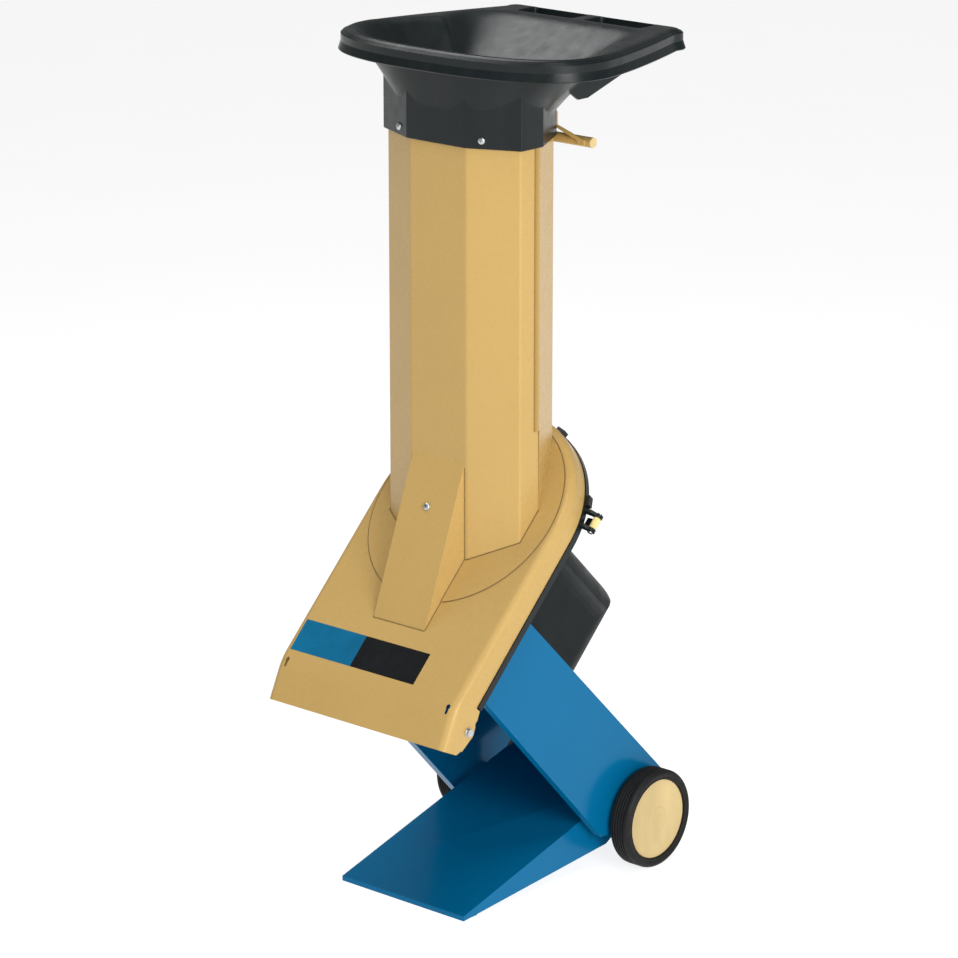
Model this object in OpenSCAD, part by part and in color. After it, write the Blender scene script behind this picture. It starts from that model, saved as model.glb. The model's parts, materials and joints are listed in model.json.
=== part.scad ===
// Garden shredder: a tall feed tower and hopper over a sloping cutter disc, on a folded-sheet stand
// with two wheels. The cover, tower and hopper swing forward together on the two hinge bolts.
// Millimetres, +X to the machine's right, +Y to its rear, +Z up. The origin is on the floor under
// the middle of the whole machine.

/* [Disc and cover] */
// Slope of the cutter disc and its cover in degrees
tilt = 45; // [43:0.5:47]
// Distance of the disc axis behind the foot's front edge, at the cover's face
disc_y = 149; // [140:1:160]
// Height of the disc axis at the cover's face
disc_z = 608; // [590:1:630]
// Length of the cover beyond its hinge bolts
cover_lip = 54; // [50:1:65]
// Angle in degrees by which the cover's lower end is bent down
lip_bend = 20; // [16:1:24]
// Depth of the cover's skirt
cover_skirt = 40; // [33:1:46]
// Radius between the cover's face and its skirt
cover_fillet = 14; // [8:1:18]
// Sheet thickness of the cover
cover_sheet = 2; // [1.5:0.1:3]
// Thickness of the tower's round flange on the cover
flange_t = 1.5; // [1:0.1:3]
// Distance of the hinge bolts beyond the rear housing's lower wall
hinge_offset = 39; // [34:1:46]
// Depth of the hinge bolts below the cover's skirt
hinge_drop = 10; // [8:1:13]
// Radius of the hinge bolts
hinge_r = 4; // [3:0.5:5]
// Radius of the hinge ears round their bolts
ear_r = 14; // [11:0.5:16]

/* [Tower] */
// Half width of the tower's front facet
tower_front_half = 57; // [50:1:64]
// Half width of the tower across its side facets
tower_side_half = 135; // [125:1:142]
// Half width of the tower's back facet
tower_back_half = 93; // [85:1:100]
// Distance of the tower's front facet behind the foot's front edge
tower_front_y = 87; // [80:1:92]
// Distance of the front shoulder behind the front facet
tower_shoulder = 35; // [28:1:40]
// Depth of the side facet
tower_side = 42; // [36:1:48]
// Depth of the tapering rear facets
tower_taper = 78; // [70:1:84]
// Sheet thickness of the tower
tower_sheet = 1.5; // [1:0.1:2.5]
// Height above the disc's middle where the rear panel's lap on the side facets begins
lap_rise = 144; // [120:1:173]
// Width of the rear panel's lap on the side facets
lap_w = 11; // [8:1:15]
// Height of the brace up the front facet
gusset_h = 154; // [128:1:185]
// Distance of the brace's toe before the foot's front edge
gusset_toe = 4; // [0:1:10]
// Distance of the brace's sides from the front facet's edges
gusset_inset = 4; // [3:0.5:10]

/* [Hopper] */
// Height of the hopper's rim above the floor
rim_z = 1336; // [1113:1:1604]
// Half width of the rim at its widest
rim_half_w = 250; // [230:1:260]
// Half width of the rim at its rear
rim_rear_half = 180; // [170:1:190]
// Distance of the rim's front behind the foot's front edge
rim_front_y = 46; // [40:1:56]
// Distance of the rim's widest place behind the foot's front edge
rim_wide_y = 186; // [175:1:200]
// Distance of the rim's rear behind the foot's front edge
rim_rear_y = 466; // [462:1:480]
// Radius of the rim's rear corners
rim_corner = 26; // [18:1:34]
// Depth of the rim's downturned edge
rim_skirt = 32; // [26:1:36]
// Width of the rim's flat round the bowl
rim_w = 26; // [22:1:30]
// Width of the finger-slot strip behind the bowl
strip_w = 78; // [72:1:84]
// Wall thickness of the hopper
hopper_wall = 4; // [3:0.2:5]
// Height from the collar's lower edge to the rim
hopper_h = 146; // [140:1:152]
// Height of the collar below the bowl
collar_h = 50; // [44:1:54]
// Length of each finger slot
slot_l = 112; // [100:1:116]
// Width of each finger slot
slot_w = 46; // [40:1:50]
// Width of the rib between the finger slots
slot_rib = 24; // [18:1:32]

/* [Handle] */
// Half length of the handle bar
bar_half = 160; // [150:1:175]
// Radius of the handle bar
bar_r = 8; // [7:0.5:10]
// Distance of the bar's axis below the collar
bar_drop = 5; // [3:1:9]

/* [Stand] */
// Half width of the foot's ramp
foot_half = 129; // [120:1:136]
// Half width of the stand across its side panels
panel_half = 160; // [150:1:162]
// Sheet thickness of the stand
stand_sheet = 2.5; // [2:0.1:4]
// Height of the foot's front lip
lip_h = 8; // [6:1:14]
// Slope of the foot's ramp in degrees
ramp_slope = 16; // [15:0.5:17]
// Depth of the folded flange that rests on the floor
rest_flange = 34; // [25:1:45]
// Distance from the disc axis down the slope to the chute's back plate
chute_rear = 126; // [122:1:130]
// Distance from the disc axis down the slope to the chute's front edge, at the top
chute_front_top = 270; // [262:1:276]
// Distance from the disc axis down the slope to the chute's front edge, at the foot
chute_front_low = 284; // [278:1:290]
// Width of the fold along the chute's front edge
fold_w = 15; // [10:1:20]

/* [Wheels] */
// Diameter of the wheels
wheel_d = 160; // [140:1:192]
// Width of the tyres
wheel_w = 37; // [30:1:42]
// Half width of the machine across the wheels' outer faces
wheel_face = 205; // [198:1:215]
// Distance of the axle behind the foot's front edge
axle_y = 380; // [372:1:384]
// Radius of the axle
axle_r = 8; // [6:0.5:10]
// Thickness of the tyres from tread to seat
tyre_t = 15; // [12:1:18]
// Number of grooves round each tyre
groove_count = 5; // [3:1:6]
// Width of the smooth band at each tyre's outer edge
tread_land = 11; // [8:1:14]

/* [Housing] */
// Depth of the rear housing's pan below the cover
housing_depth = 20; // [17:1:24]
// Depth of the rear housing's outer band below the cover
band_depth = 11; // [9:1:14]
// Inset of the rear housing's pan from its outer band
band_step = 16; // [12:1:18]
// Wall thickness of the rear housing
housing_wall = 4; // [3:0.2:5]
// Distance of the rear housing's lower wall beyond the chute
housing_tail = 26; // [20:1:34]
// Half width of the discharge window
window_half = 98; // [85:1:102]
// Distance of the latches' middle up the slope from the disc axis
latch_v = 50; // [40:1:60]
// Radius of the latch barrels
latch_r = 6; // [5:0.5:7.5]
// Radius of the latch pins
latch_pin_r = 3; // [2:0.5:4]

/* [Cutter] */
// Radius of the cutter disc
disc_r = 158; // [150:1:190]
// Gap between the cutter disc and the housing's wall
disc_gap = 26; // [22:1:31]
// Thickness of the cutter disc
disc_t = 8; // [6:1:10]
// Depth of the cutter disc's upper face below the cover's face
disc_depth = 32; // [30:1:34]
// Length of each knife
knife_l = 92; // [80:1:96]
// Width of each knife
knife_w = 36; // [30:1:40]
// Thickness of each knife
knife_t = 5; // [4:0.5:6]

/* [Motor] */
// Air gap between the motor's case and its hood
hood_gap = 18; // [15:1:20]
// Length of the motor hood beyond the motor's case
hood_tail = 90; // [80:1:108]
// Rounding of the hood's far edges
hood_round = 42; // [32:1:50]
// Wall thickness of the motor hood
hood_wall = 3; // [2:0.2:4]
// Radius of the motor's case
case_r = 57; // [50:1:69]
// Length of the motor's case
case_l = 190; // [158:1:228]
// Radius of the motor shaft
shaft_r = 10; // [8:0.5:12]
// Radius of the bearings
bearing_r = 21; // [19:0.5:23]

/* [Switch] */
// Height of the switch box off the hood's side
switch_h = 44; // [36:1:52]
// Size of the switch box along the slope
switch_w = 70; // [60:1:76]
// Length of the switch box along the motor
switch_l = 96; // [84:1:110]
// Radius of the push buttons
button_r = 11; // [9:0.5:13]
// Travel of the push buttons
button_travel = 3; // [2:0.5:4]

/* [Clearances] */
// Radial running clearance of shafts and pins
run_gap = 0.05; // [0.02:0.01:0.1]
// Gap between pieces that part or slide
part_gap = 0.4; // [0.3:0.1:0.6]
// Radial clearance of screw holes
screw_gap = 0.2; // [0.1:0.05:0.4]

/* [Hidden] */
$fn = 64;
eps = 0.01;
far = 2000;
left = [1, 0, 0];

// Radii that follow the cutter disc, and distances down the slope that follow the chute
housing_r = disc_r + disc_gap + housing_wall;
cover_r = housing_r - 2;
housing_reach = chute_front_top + housing_tail;
hinge_reach = housing_reach + hinge_offset;
cover_reach = hinge_reach + cover_lip;

// Depths below the cover's face
hinge_depth = cover_skirt + hinge_drop;
housing_back = cover_skirt + housing_depth;
band_back = cover_skirt + band_depth;
housing_top = cover_skirt + part_gap;

// The bend of the cover's lower end, the flat length beyond it, and its end along and above the slope
lip_bend_r = 100;
lip_bend_reach = hinge_reach - 30;
lip_l = cover_reach - lip_bend_reach - lip_bend_r * lip_bend * PI / 180;
lip_end_v = -lip_bend_reach - lip_bend_r * sin(lip_bend) - lip_l * cos(lip_bend);
lip_end_n = -lip_bend_r * (1 - cos(lip_bend)) - lip_l * sin(lip_bend);

// Placing the machine: its front is the cover's lower end and its rear is the rim's rear
front_y = disc_y + lip_end_v * cos(tilt) - lip_end_n * sin(tilt);
foot_y = -(front_y + rim_rear_y) / 2;

// Cover and hinge
flange_r = cover_r - cover_fillet;
ear_depth = hinge_depth + ear_r - 2;
hole_x = flange_r - 4;
hole_v = hinge_reach - 13;
hole_r = 4.5;
hole_tail_r = 3;
hole_slip = 9;
skirt_corner = 9;
ear_toe_offset = 32;
ear_toe_drop = 9;
scallop_r = 8;
scallop_offset = 21;

// Tower corners, right half from front to back, then the whole outline
tower_shoulder_y = tower_front_y + tower_shoulder;
tower_side_y = tower_shoulder_y + tower_side;
tower_back_y = tower_side_y + tower_taper;
tower_right = [
    [tower_front_half, tower_front_y],
    [tower_side_half, tower_shoulder_y],
    [tower_side_half, tower_side_y],
    [tower_back_half, tower_back_y]
];
tower_outline = mirrored(tower_right);
front_path = concat([for (i = [2 : -1 : 0]) [-tower_right[i][0], tower_right[i][1]]],
    [for (i = [0 : 2]) tower_right[i]]);
back_path = offset_open([
    tower_right[2] - [0, lap_w],
    tower_right[2],
    tower_right[3],
    [-tower_back_half, tower_back_y],
    [-tower_side_half, tower_side_y],
    [-tower_side_half, tower_side_y - lap_w]
], tower_sheet);
throat_outline = offset_closed(tower_outline, -tower_sheet);
collar_z = rim_z - hopper_h;
cone_z = collar_z + collar_h;
tower_top = cone_z - 4;
lap_z = disc_z + lap_rise;
gusset_w = 2 * (tower_front_half - gusset_inset);
gusset_top_z = face_z(tower_front_y) + gusset_h;
gusset_lean = atan2(tower_front_y + gusset_toe, gusset_top_z - face_z(-gusset_toe));
gusset_screw_y = tower_front_y - 27;
gusset_screw_z = gusset_top_z - (tower_front_y - gusset_screw_y) / tan(gusset_lean);

// Hopper
collar_fit = tower_sheet + 0.5;
collar_outline = offset_closed(tower_outline, collar_fit + hopper_wall);
screw_r = 3;
screw_head_r = 6;
screw_head_h = 4;
screw_dome = 1.5;
screw_grip = 4;
drill = 40;
collar_screw_z = collar_z + 13;
collar_screw_share = 0.3;
slot_y = rim_rear_y - strip_w / 2 + 2;
slot_corner = 8;
web_x = rim_rear_half - 28;
web_end_y = rim_rear_y - 20;
web_drop = 50;
web_toe = 10;
web_lift = 11;

// Handle
strap_t = 3;
bar_y = tower_back_y + collar_fit + hopper_wall + strap_t + bar_r;
bar_z = collar_z - bar_drop;
bar_wall = 2;
strap_rise = 13;
strap_seat = 46;
strap_seat_h = 20;
strap_seat_end = tower_back_half + 3;
strap_strip = 13;
strap_pad = 14;
strap_pad_h = 4;
strap_pad_end = bar_half - 10;
strap_bolt_x = [tower_back_half - 34, tower_back_half - 10];

// Wheels and axle
wheel_r = wheel_d / 2;
axle_z = wheel_r;
axle_v = slope_v(axle_y, axle_z);
axle_n = slope_n(axle_y, axle_z);
spacer_least = 4;
wheel_in = max(wheel_face - wheel_w, panel_half + part_gap + spacer_least);
tyre_edge = 6;
tyre_chamfer = 2;
tyre_in = wheel_r - tyre_t;
groove_w = 2.2;
groove_pitch = (wheel_w - tyre_edge - tread_land) / (groove_count - 1);
groove_depth = 2;
hub_web = 6;
hub_rim = 5;
hub_face = wheel_w / 2 + hub_web / 2;
cap_t = 5;
cap_seat = wheel_w - 4;
cap_web = 3;
spacer_r = axle_r + 5;
clip_t = 3;
clip_x = wheel_in + hub_face + part_gap;
axle_half = clip_x + clip_t + 2;

// Stand
toe_half = 20;
heel_drop = 14;
nose_rise = 52;
wall_slope = 5.2;
wall_front = 40;
wall_tail = 14;
wall_drop = 18;
ramp_end_y = (disc_y + disc_z - lip_h - (chute_rear + stand_sheet) / cos(tilt)) / (1 + tan(ramp_slope));
bolt_r = 4;
bolt_head_r = 6.5;
bolt_head_h = 4;
top_fold = 26;
panel_bolt_x = panel_half - stand_sheet - top_fold / 2;
panel_bolt_v = [-chute_rear - 20, -chute_front_top + 18];

// Housing
lug_t = 14;
lug_r = ear_r - 2;
lug_x = cover_r - cover_sheet - part_gap - lug_t;
latch_x = housing_r + 10;
latch_n = housing_back - 4;
latch_gap = 20;
latch_ear_t = 5;
latch_tab_l = 20;
latch_tab_t = 4;
boss_angles = [24, 73, 107, 156];
boss_size = [9, 18, 11];
window_top = chute_rear + 8;
window_low = chute_front_top - 8;

// Cutter
disc_back = disc_depth + disc_t;
vane_gap = 5;
vane_h = housing_back - housing_wall - disc_back - vane_gap;
vane_r0 = shaft_r + 32;
vane_t = 6;
vane_count = 4;
knife_r0 = 46;
cut_gap = 2;
counter_w = 20;
chip_slot_w = 14;
knife_head_h = 3;
knife_screw_r = [knife_r0 + 22, knife_r0 + knife_l - 22];
washer_t = 5;
washer_r = 34;
disc_bolt_l = 24;

// Motor, all depths below the cover's face
hood_r = case_r + hood_gap + hood_wall;
case_n = housing_back + 12;
case_end = case_n + case_l;
stator_r = case_r - 3;
rotor_r = 39;
rotor_gap = 1;
stator_n = case_n + 28;
stator_l = case_l - 56;
shield_t = 12;
fan_n = case_end + shield_t + 14;
fan_t = 12;
fan_r = hood_r - 16;
shaft_end = fan_n + fan_t + 4;
hood_end = case_end + hood_tail;
hood_low = chute_rear - 2;
hood_screw_v = [-hood_low + 22, 20];
hood_lip = 12;
cap_tube_r = 18;
cap_tube_l = 95;
cap_tube_v = -hood_low + hood_wall + part_gap + cap_tube_r;

// Switch
switch_v = -50;
switch_n = housing_back + 130;
switch_wall = 3;
button_pitch = 42;
button_h = button_travel + 3;
inlet_r = 19;
inlet_l = 30;
inlet_pin_r = 2.4;
inlet_pin_l = 19;
inlet_pin_pitch = 19;

tan_paint = [0.80, 0.68, 0.43];
blue_paint = [0.02, 0.38, 0.60];
black_plastic = [0.12, 0.13, 0.15];
zinc = [0.72, 0.73, 0.75];
steel = [0.62, 0.63, 0.65];
copper = [0.72, 0.45, 0.24];
iron = [0.45, 0.46, 0.48];
pale_grey = [0.85, 0.86, 0.88];
latch_yellow = [0.88, 0.80, 0.47];
button_green = [0.20, 0.55, 0.25];
button_red = [0.75, 0.12, 0.10];

// Places on the slope: along it from the disc axis, and above the cover's face
function slope_v(y, z) = (y - disc_y) * cos(tilt) + (z - disc_z) * sin(tilt);
function slope_n(y, z) = (z - disc_z) * cos(tilt) - (y - disc_y) * sin(tilt);
// Height of the cover's face at a distance behind the foot's front edge
function face_z(y) = disc_z + (y - disc_y) * tan(tilt);
// Height of the ramp's upper face
function ramp_z(y) = lip_h + y * tan(ramp_slope);

// Outlines
function mirrored(half) = concat(half, [for (i = [len(half) - 1 : -1 : 0]) [-half[i][0], half[i][1]]]);
function unit(v) = v / norm(v);
function edge_normal(a, b) = let (d = unit(b - a)) [d[1], -d[0]];
function offset_corner(before, at, after, d) =
    let (n1 = edge_normal(before, at), n2 = edge_normal(at, after)) at + d * (n1 + n2) / (1 + n1 * n2);
function offset_closed(pts, d) = let (n = len(pts))
    [for (i = [0 : n - 1]) offset_corner(pts[(i + n - 1) % n], pts[i], pts[(i + 1) % n], d)];
function offset_open(pts, d) =
    let (n = len(pts)) [for (i = [0 : n - 1])
        i == 0 ? pts[0] + d * edge_normal(pts[0], pts[1])
        : i == n - 1 ? pts[i] + d * edge_normal(pts[i - 1], pts[i])
        : offset_corner(pts[i - 1], pts[i], pts[i + 1], d)];
function reversed(pts) = [for (i = [len(pts) - 1 : -1 : 0]) pts[i]];
// A bent sheet seen end on: its outer face along the path and its thickness to the left of it
function sheet_section(path, t) = concat(path, reversed(offset_open(path, -t)));
function arc(centre, r, a0, a1, steps) =
    [for (i = [0 : steps]) let (a = a0 + (a1 - a0) * i / steps) centre + r * [cos(a), sin(a)]];
// A rounded outline, square in front and tapering to a straight rear
function hopper_outline(half_w, front, wide, rear, rear_half, corner) = mirrored(concat(
    [for (a = [6 : 6 : 90]) [half_w * pow(sin(a), 0.8), wide - (wide - front) * pow(cos(a), 0.8)]],
    [for (t = [0.2 : 0.2 : 0.8])
        [half_w - (half_w - rear_half) * pow(t, 1.3), wide + t * (rear - corner - wide)]],
    arc([rear_half - corner, rear - corner], corner, 0, 90, 6)));
rim_outline = hopper_outline(rim_half_w, rim_front_y, rim_wide_y, rim_rear_y, rim_rear_half, rim_corner);
mouth_outline = hopper_outline(rim_half_w - rim_w, rim_front_y + rim_w, rim_wide_y,
    rim_rear_y - strip_w, rim_rear_half - 10, rim_corner + 40);

// Frames of reference
module machine() translate([0, foot_y, 0]) children();
module tilted() machine() translate([0, disc_y, disc_z]) rotate([tilt, 0, 0]) children();
// A flat shape drawn as depth and height, given its thickness along X
module along_x(x0, x1) translate([x0, 0, 0]) rotate([90, 0, 90]) linear_extrude(x1 - x0) children();
module along_v(v0, v1) translate([0, v1, 0]) rotate([90, 0, 0]) linear_extrude(v1 - v0) children();
module slab(n0, n1) translate([0, 0, n0]) linear_extrude(n1 - n0) children();
module both() for (s = [0, 1]) mirror([s, 0, 0]) children();
module prism(outline, z0, z1) machine() translate([0, 0, z0]) linear_extrude(z1 - z0) polygon(outline);
module rod_x(x0, x1, r) translate([x0, 0, 0]) rotate([0, 90, 0]) cylinder(h = x1 - x0, r = r);
module below_face(n) tilted() translate([-far / 2, -far / 2, n - far]) cube(far);
module below_ramp() machine() translate([-far / 2, 0, lip_h]) rotate([ramp_slope, 0, 0])
    translate([0, -far / 2, -far]) cube(far);
module throat() prism(throat_outline, 0, far);

// Stand
module panel_outline() polygon([
    [-chute_front_top, -housing_back],
    [-chute_rear, -housing_back],
    [-chute_rear, axle_n - heel_drop],
    [axle_v - toe_half, axle_n - heel_drop],
    [-chute_front_low, axle_n + nose_rise]
]);
module panel_edge() polygon([
    [-chute_front_top, -housing_back],
    [-chute_front_top + stand_sheet, -housing_back],
    [-chute_front_low + stand_sheet, axle_n + nose_rise],
    [-chute_front_low, axle_n + nose_rise]
]);
module panel_bolts_at() for (v = panel_bolt_v) translate([panel_bolt_x, v, -housing_back]) children();
module chute_panel() difference() {
    union() {
        tilted() along_x(panel_half - stand_sheet, panel_half) panel_outline();
        tilted() along_x(panel_half - fold_w, panel_half - stand_sheet + eps) panel_edge();
        tilted() translate([panel_half - top_fold - stand_sheet, -chute_front_top, 0])
            slab(-housing_back - stand_sheet, -housing_back)
                square([top_fold + eps, chute_front_top - chute_rear - stand_sheet]);
    }
    tilted() panel_bolts_at() cylinder(h = 4 * stand_sheet, r = bolt_r + screw_gap, center = true);
    at_axle() rod_x(0, far, axle_r + run_gap);
}
module chute_panel_right() color(blue_paint) chute_panel();
module chute_panel_left() color(blue_paint) mirror(left) chute_panel();
module chute_back() color(blue_paint) difference() {
    tilted() translate([-panel_half + stand_sheet, -chute_rear - stand_sheet, axle_n - heel_drop])
        cube([2 * (panel_half - stand_sheet), stand_sheet, -axle_n + heel_drop - housing_back]);
    below_ramp();
}
module foot_ramp() color(blue_paint) {
    machine() along_x(-foot_half + stand_sheet, foot_half - stand_sheet) polygon([
        [0, 0],
        [rest_flange, 0],
        [rest_flange, stand_sheet],
        [stand_sheet, stand_sheet],
        [stand_sheet, ramp_z(stand_sheet) - stand_sheet],
        [ramp_end_y - stand_sheet, ramp_z(ramp_end_y - stand_sheet) - stand_sheet],
        [ramp_end_y, ramp_z(ramp_end_y)],
        [0, lip_h]
    ]);
    both() difference() {
        machine() along_x(foot_half - stand_sheet - eps, foot_half) polygon([
            [0, 0],
            [axle_y - wall_front, (axle_y - wall_front) * tan(wall_slope)],
            [axle_y + wall_tail, axle_z - wall_drop],
            [axle_y + wall_tail, ramp_z(axle_y + wall_tail)],
            [0, lip_h]
        ]);
        at_axle() rod_x(0, far, axle_r + run_gap);
    }
}
module stand_bolts() color(zinc) both() tilted() panel_bolts_at() {
    translate([0, 0, -stand_sheet - bolt_head_h]) cylinder(h = bolt_head_h, r = bolt_head_r, $fn = 6);
    translate([0, 0, -stand_sheet - eps]) cylinder(h = stand_sheet + housing_wall - 1, r = bolt_r);
}

// Axle and wheels
module at_axle() machine() translate([0, axle_y, axle_z]) children();
module axle() color(steel) at_axle() rod_x(-axle_half, axle_half, axle_r);
module axle_spacers() color(black_plastic) both() at_axle() difference() {
    rod_x(panel_half + part_gap, wheel_in + 1, spacer_r);
    rod_x(0, far, axle_r + run_gap);
}
module axle_clips() color(zinc) both() at_axle() difference() {
    rod_x(clip_x, clip_x + clip_t, axle_r + 5);
    rod_x(0, far, axle_r + run_gap);
}
function groove_x(i) = tyre_edge + groove_pitch * i;
module tyre() at_axle() translate([wheel_in, 0, 0]) rotate([0, 90, 0]) difference() {
    rotate_extrude() polygon([
        [tyre_in, tyre_chamfer],
        [wheel_r - tyre_edge, 0],
        [wheel_r - tyre_chamfer, tyre_chamfer],
        [wheel_r, tyre_edge],
        [wheel_r, wheel_w - tyre_edge],
        [wheel_r - tyre_chamfer, wheel_w - tyre_chamfer],
        [wheel_r - tyre_edge, wheel_w],
        [tyre_in, wheel_w - tyre_chamfer]
    ]);
    for (i = [0 : groove_count - 1]) translate([0, 0, groove_x(i) - groove_w / 2]) difference() {
        cylinder(h = groove_w, r = wheel_r + 1);
        translate([0, 0, -1]) cylinder(h = groove_w + 2, r = wheel_r - groove_depth);
    }
}
module hub() at_axle() translate([wheel_in, 0, 0]) rotate([0, 90, 0]) difference() {
    union() {
        difference() {
            translate([0, 0, 3]) cylinder(h = cap_seat - cap_t - 3, r = tyre_in - part_gap / 4);
            translate([0, 0, -1]) cylinder(h = far, r = tyre_in - hub_rim);
        }
        translate([0, 0, hub_face - hub_web]) cylinder(h = hub_web, r = tyre_in - hub_rim + 1);
        translate([0, 0, 1 + part_gap]) cylinder(h = hub_face - 1 - part_gap, r = axle_r + 8);
    }
    translate([0, 0, -1]) cylinder(h = far, r = axle_r + run_gap);
}
module hub_cap() {
    spigot_r = tyre_in - hub_rim - 1;
    rim_r = tyre_in - part_gap;
    seat = cap_seat - cap_t + part_gap / 4;
    button_r0 = tyre_in / 3;
    at_axle() translate([wheel_in, 0, 0]) rotate([0, 90, 0]) rotate_extrude() polygon([
        [0, cap_seat - cap_web],
        [spigot_r, cap_seat - cap_web],
        [spigot_r, seat],
        [rim_r, seat],
        [rim_r, cap_seat - 1],
        [tyre_in - 2, cap_seat],
        [button_r0, cap_seat + 1],
        [button_r0 - 3, cap_seat + 2],
        [0, cap_seat + 2]
    ]);
}
module tyre_right() color(black_plastic) tyre();
module tyre_left() color(black_plastic) mirror(left) tyre();
module hub_right() color(black_plastic) hub();
module hub_left() color(black_plastic) mirror(left) hub();
module hub_cap_right() color(tan_paint) hub_cap();
module hub_cap_left() color(tan_paint) mirror(left) hub_cap();

// Rear housing: a black stepped pan below the cover, with hinge lugs, latch ears and bosses
module pan(r, reach, n0, n1) slab(n0, n1) {
    circle(r);
    translate([-r, -reach]) square([2 * r, reach]);
}
module at_hinge() tilted() translate([0, -hinge_reach, -hinge_depth]) children();
module hinge_lug() tilted() along_x(lug_x, lug_x + lug_t) {
    translate([-hinge_reach, -hinge_depth]) circle(lug_r);
    polygon([
        [-hinge_reach, -hinge_depth - lug_r],
        [-housing_reach + 1, -band_back],
        [-housing_reach + 1, -housing_top],
        [-hinge_reach, -hinge_depth + lug_r]
    ]);
}
module at_latch() tilted() translate([latch_x, latch_v, -latch_n]) children();
module latch_ears() {
    ear = latch_r + 1;
    root = housing_wall + 20;
    low = latch_n - band_back + 0.5;
    high = latch_n - housing_top - 1;
    at_latch() for (s = [-1, 1])
        translate([0, s * (latch_gap + latch_ear_t) / 2 + latch_ear_t / 2, 0]) rotate([90, 0, 0])
            linear_extrude(latch_ear_t) {
                circle(ear);
                polygon([[-root, low], [-root, high], [-ear, high], [0, ear], [0, -ear], [-ear, 0]]);
            }
}
module boss(a) tilted() rotate([0, 0, a])
    translate([housing_r - 2, -boss_size[1] / 2, -(band_back + housing_top + boss_size[2]) / 2])
        cube(boss_size);
module housing_form(inset, top) tilted() {
    pan(housing_r - inset, housing_reach - inset, -band_back + inset, top);
    pan(housing_r - band_step - inset, housing_reach - inset, -housing_back + inset, top);
}
module rear_housing() color(black_plastic) difference() {
    union() {
        difference() {
            housing_form(0, -housing_top);
            housing_form(housing_wall, far);
        }
        tilted() translate([-cover_r + cover_fillet + 2, -housing_reach, -housing_back])
            cube([2 * (cover_r - cover_fillet - 2), housing_wall, housing_back - cover_sheet - 1]);
        both() hinge_lug();
        both() difference() {
            latch_ears();
            tilted() pan(housing_r - housing_wall / 2, housing_reach, -far, far);
        }
        for (a = boss_angles) boss(a);
    }
    tilted() translate([-window_half, -window_low, -housing_back - 1])
        cube([2 * window_half, window_low - window_top, housing_wall + 2]);
    tilted() translate([0, 0, -housing_back - 1]) cylinder(h = housing_wall + 2, r = shaft_r + 4);
    both() tilted() panel_bolts_at() cylinder(h = 4 * housing_wall, r = bolt_r + screw_gap, center = true);
    at_hinge() rod_x(-far, far, hinge_r + run_gap);
    both() at_latch() rotate([90, 0, 0]) cylinder(h = 60, r = latch_pin_r + run_gap, center = true);
}
module hinge_bolts() color(zinc) both() at_hinge() {
    rod_x(lug_x - 9, cover_r + part_gap + eps, hinge_r);
    rod_x(cover_r + part_gap, cover_r + part_gap + 5, hinge_r + 3.5);
}
module hinge_nuts() color(zinc) both() at_hinge() difference() {
    translate([lug_x - 7 - part_gap / 4, 0, 0]) rotate([0, 90, 0]) cylinder(h = 7, r = hinge_r + 4, $fn = 6);
    rod_x(0, far, hinge_r + run_gap);
}
module latch_pins() color(zinc) both() at_latch() rotate([90, 0, 0]) {
    cylinder(h = latch_gap + 2 * latch_ear_t + 2, r = latch_pin_r, center = true);
    for (s = [-1, 1]) translate([0, 0, s * (latch_gap / 2 + latch_ear_t + 1.5)])
        cylinder(h = 2, r = latch_pin_r + 1.5, center = true);
}
module latch() at_latch() difference() {
    union() {
        rotate([90, 0, 0]) cylinder(h = latch_gap - 2 * part_gap, r = latch_r, center = true);
        translate([-latch_tab_l, -latch_gap / 2 + 2, -latch_r])
            cube([latch_tab_l, latch_gap - 4, latch_tab_t]);
    }
    rotate([90, 0, 0]) cylinder(h = 60, r = latch_pin_r + run_gap, center = true);
}
module latch_right() color(latch_yellow) latch();
module latch_left() color(latch_yellow) mirror(left) latch();

// Motor and hood below the housing
module motor_flange() color(steel) tilted() difference() {
    slab(-case_n, -housing_back) circle(case_r);
    slab(-far, 0) circle(bearing_r + run_gap);
}
module motor_case() color(steel) tilted() difference() {
    slab(-case_end, -case_n) circle(case_r);
    slab(-far, 0) circle(stator_r + run_gap);
}
module stator() color(copper) tilted() difference() {
    slab(-stator_n - stator_l, -stator_n) circle(stator_r);
    slab(-far, 0) circle(rotor_r + rotor_gap);
}
module rear_shield() color(steel) tilted() difference() {
    slab(-case_end - shield_t, -case_end) circle(case_r);
    slab(-far, 0) circle(bearing_r + run_gap);
}
module bearing(n0) tilted() difference() {
    slab(n0, n0 + shield_t) circle(bearing_r);
    slab(-far, 0) circle(shaft_r + run_gap);
}
module front_bearing() color(zinc) bearing(-case_n);
module rear_bearing() color(zinc) bearing(-case_end - shield_t);
module capacitor() color(pale_grey) tilted()
    translate([0, cap_tube_v, -case_n - 30 - cap_tube_l]) cylinder(h = cap_tube_l, r = cap_tube_r);
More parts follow.
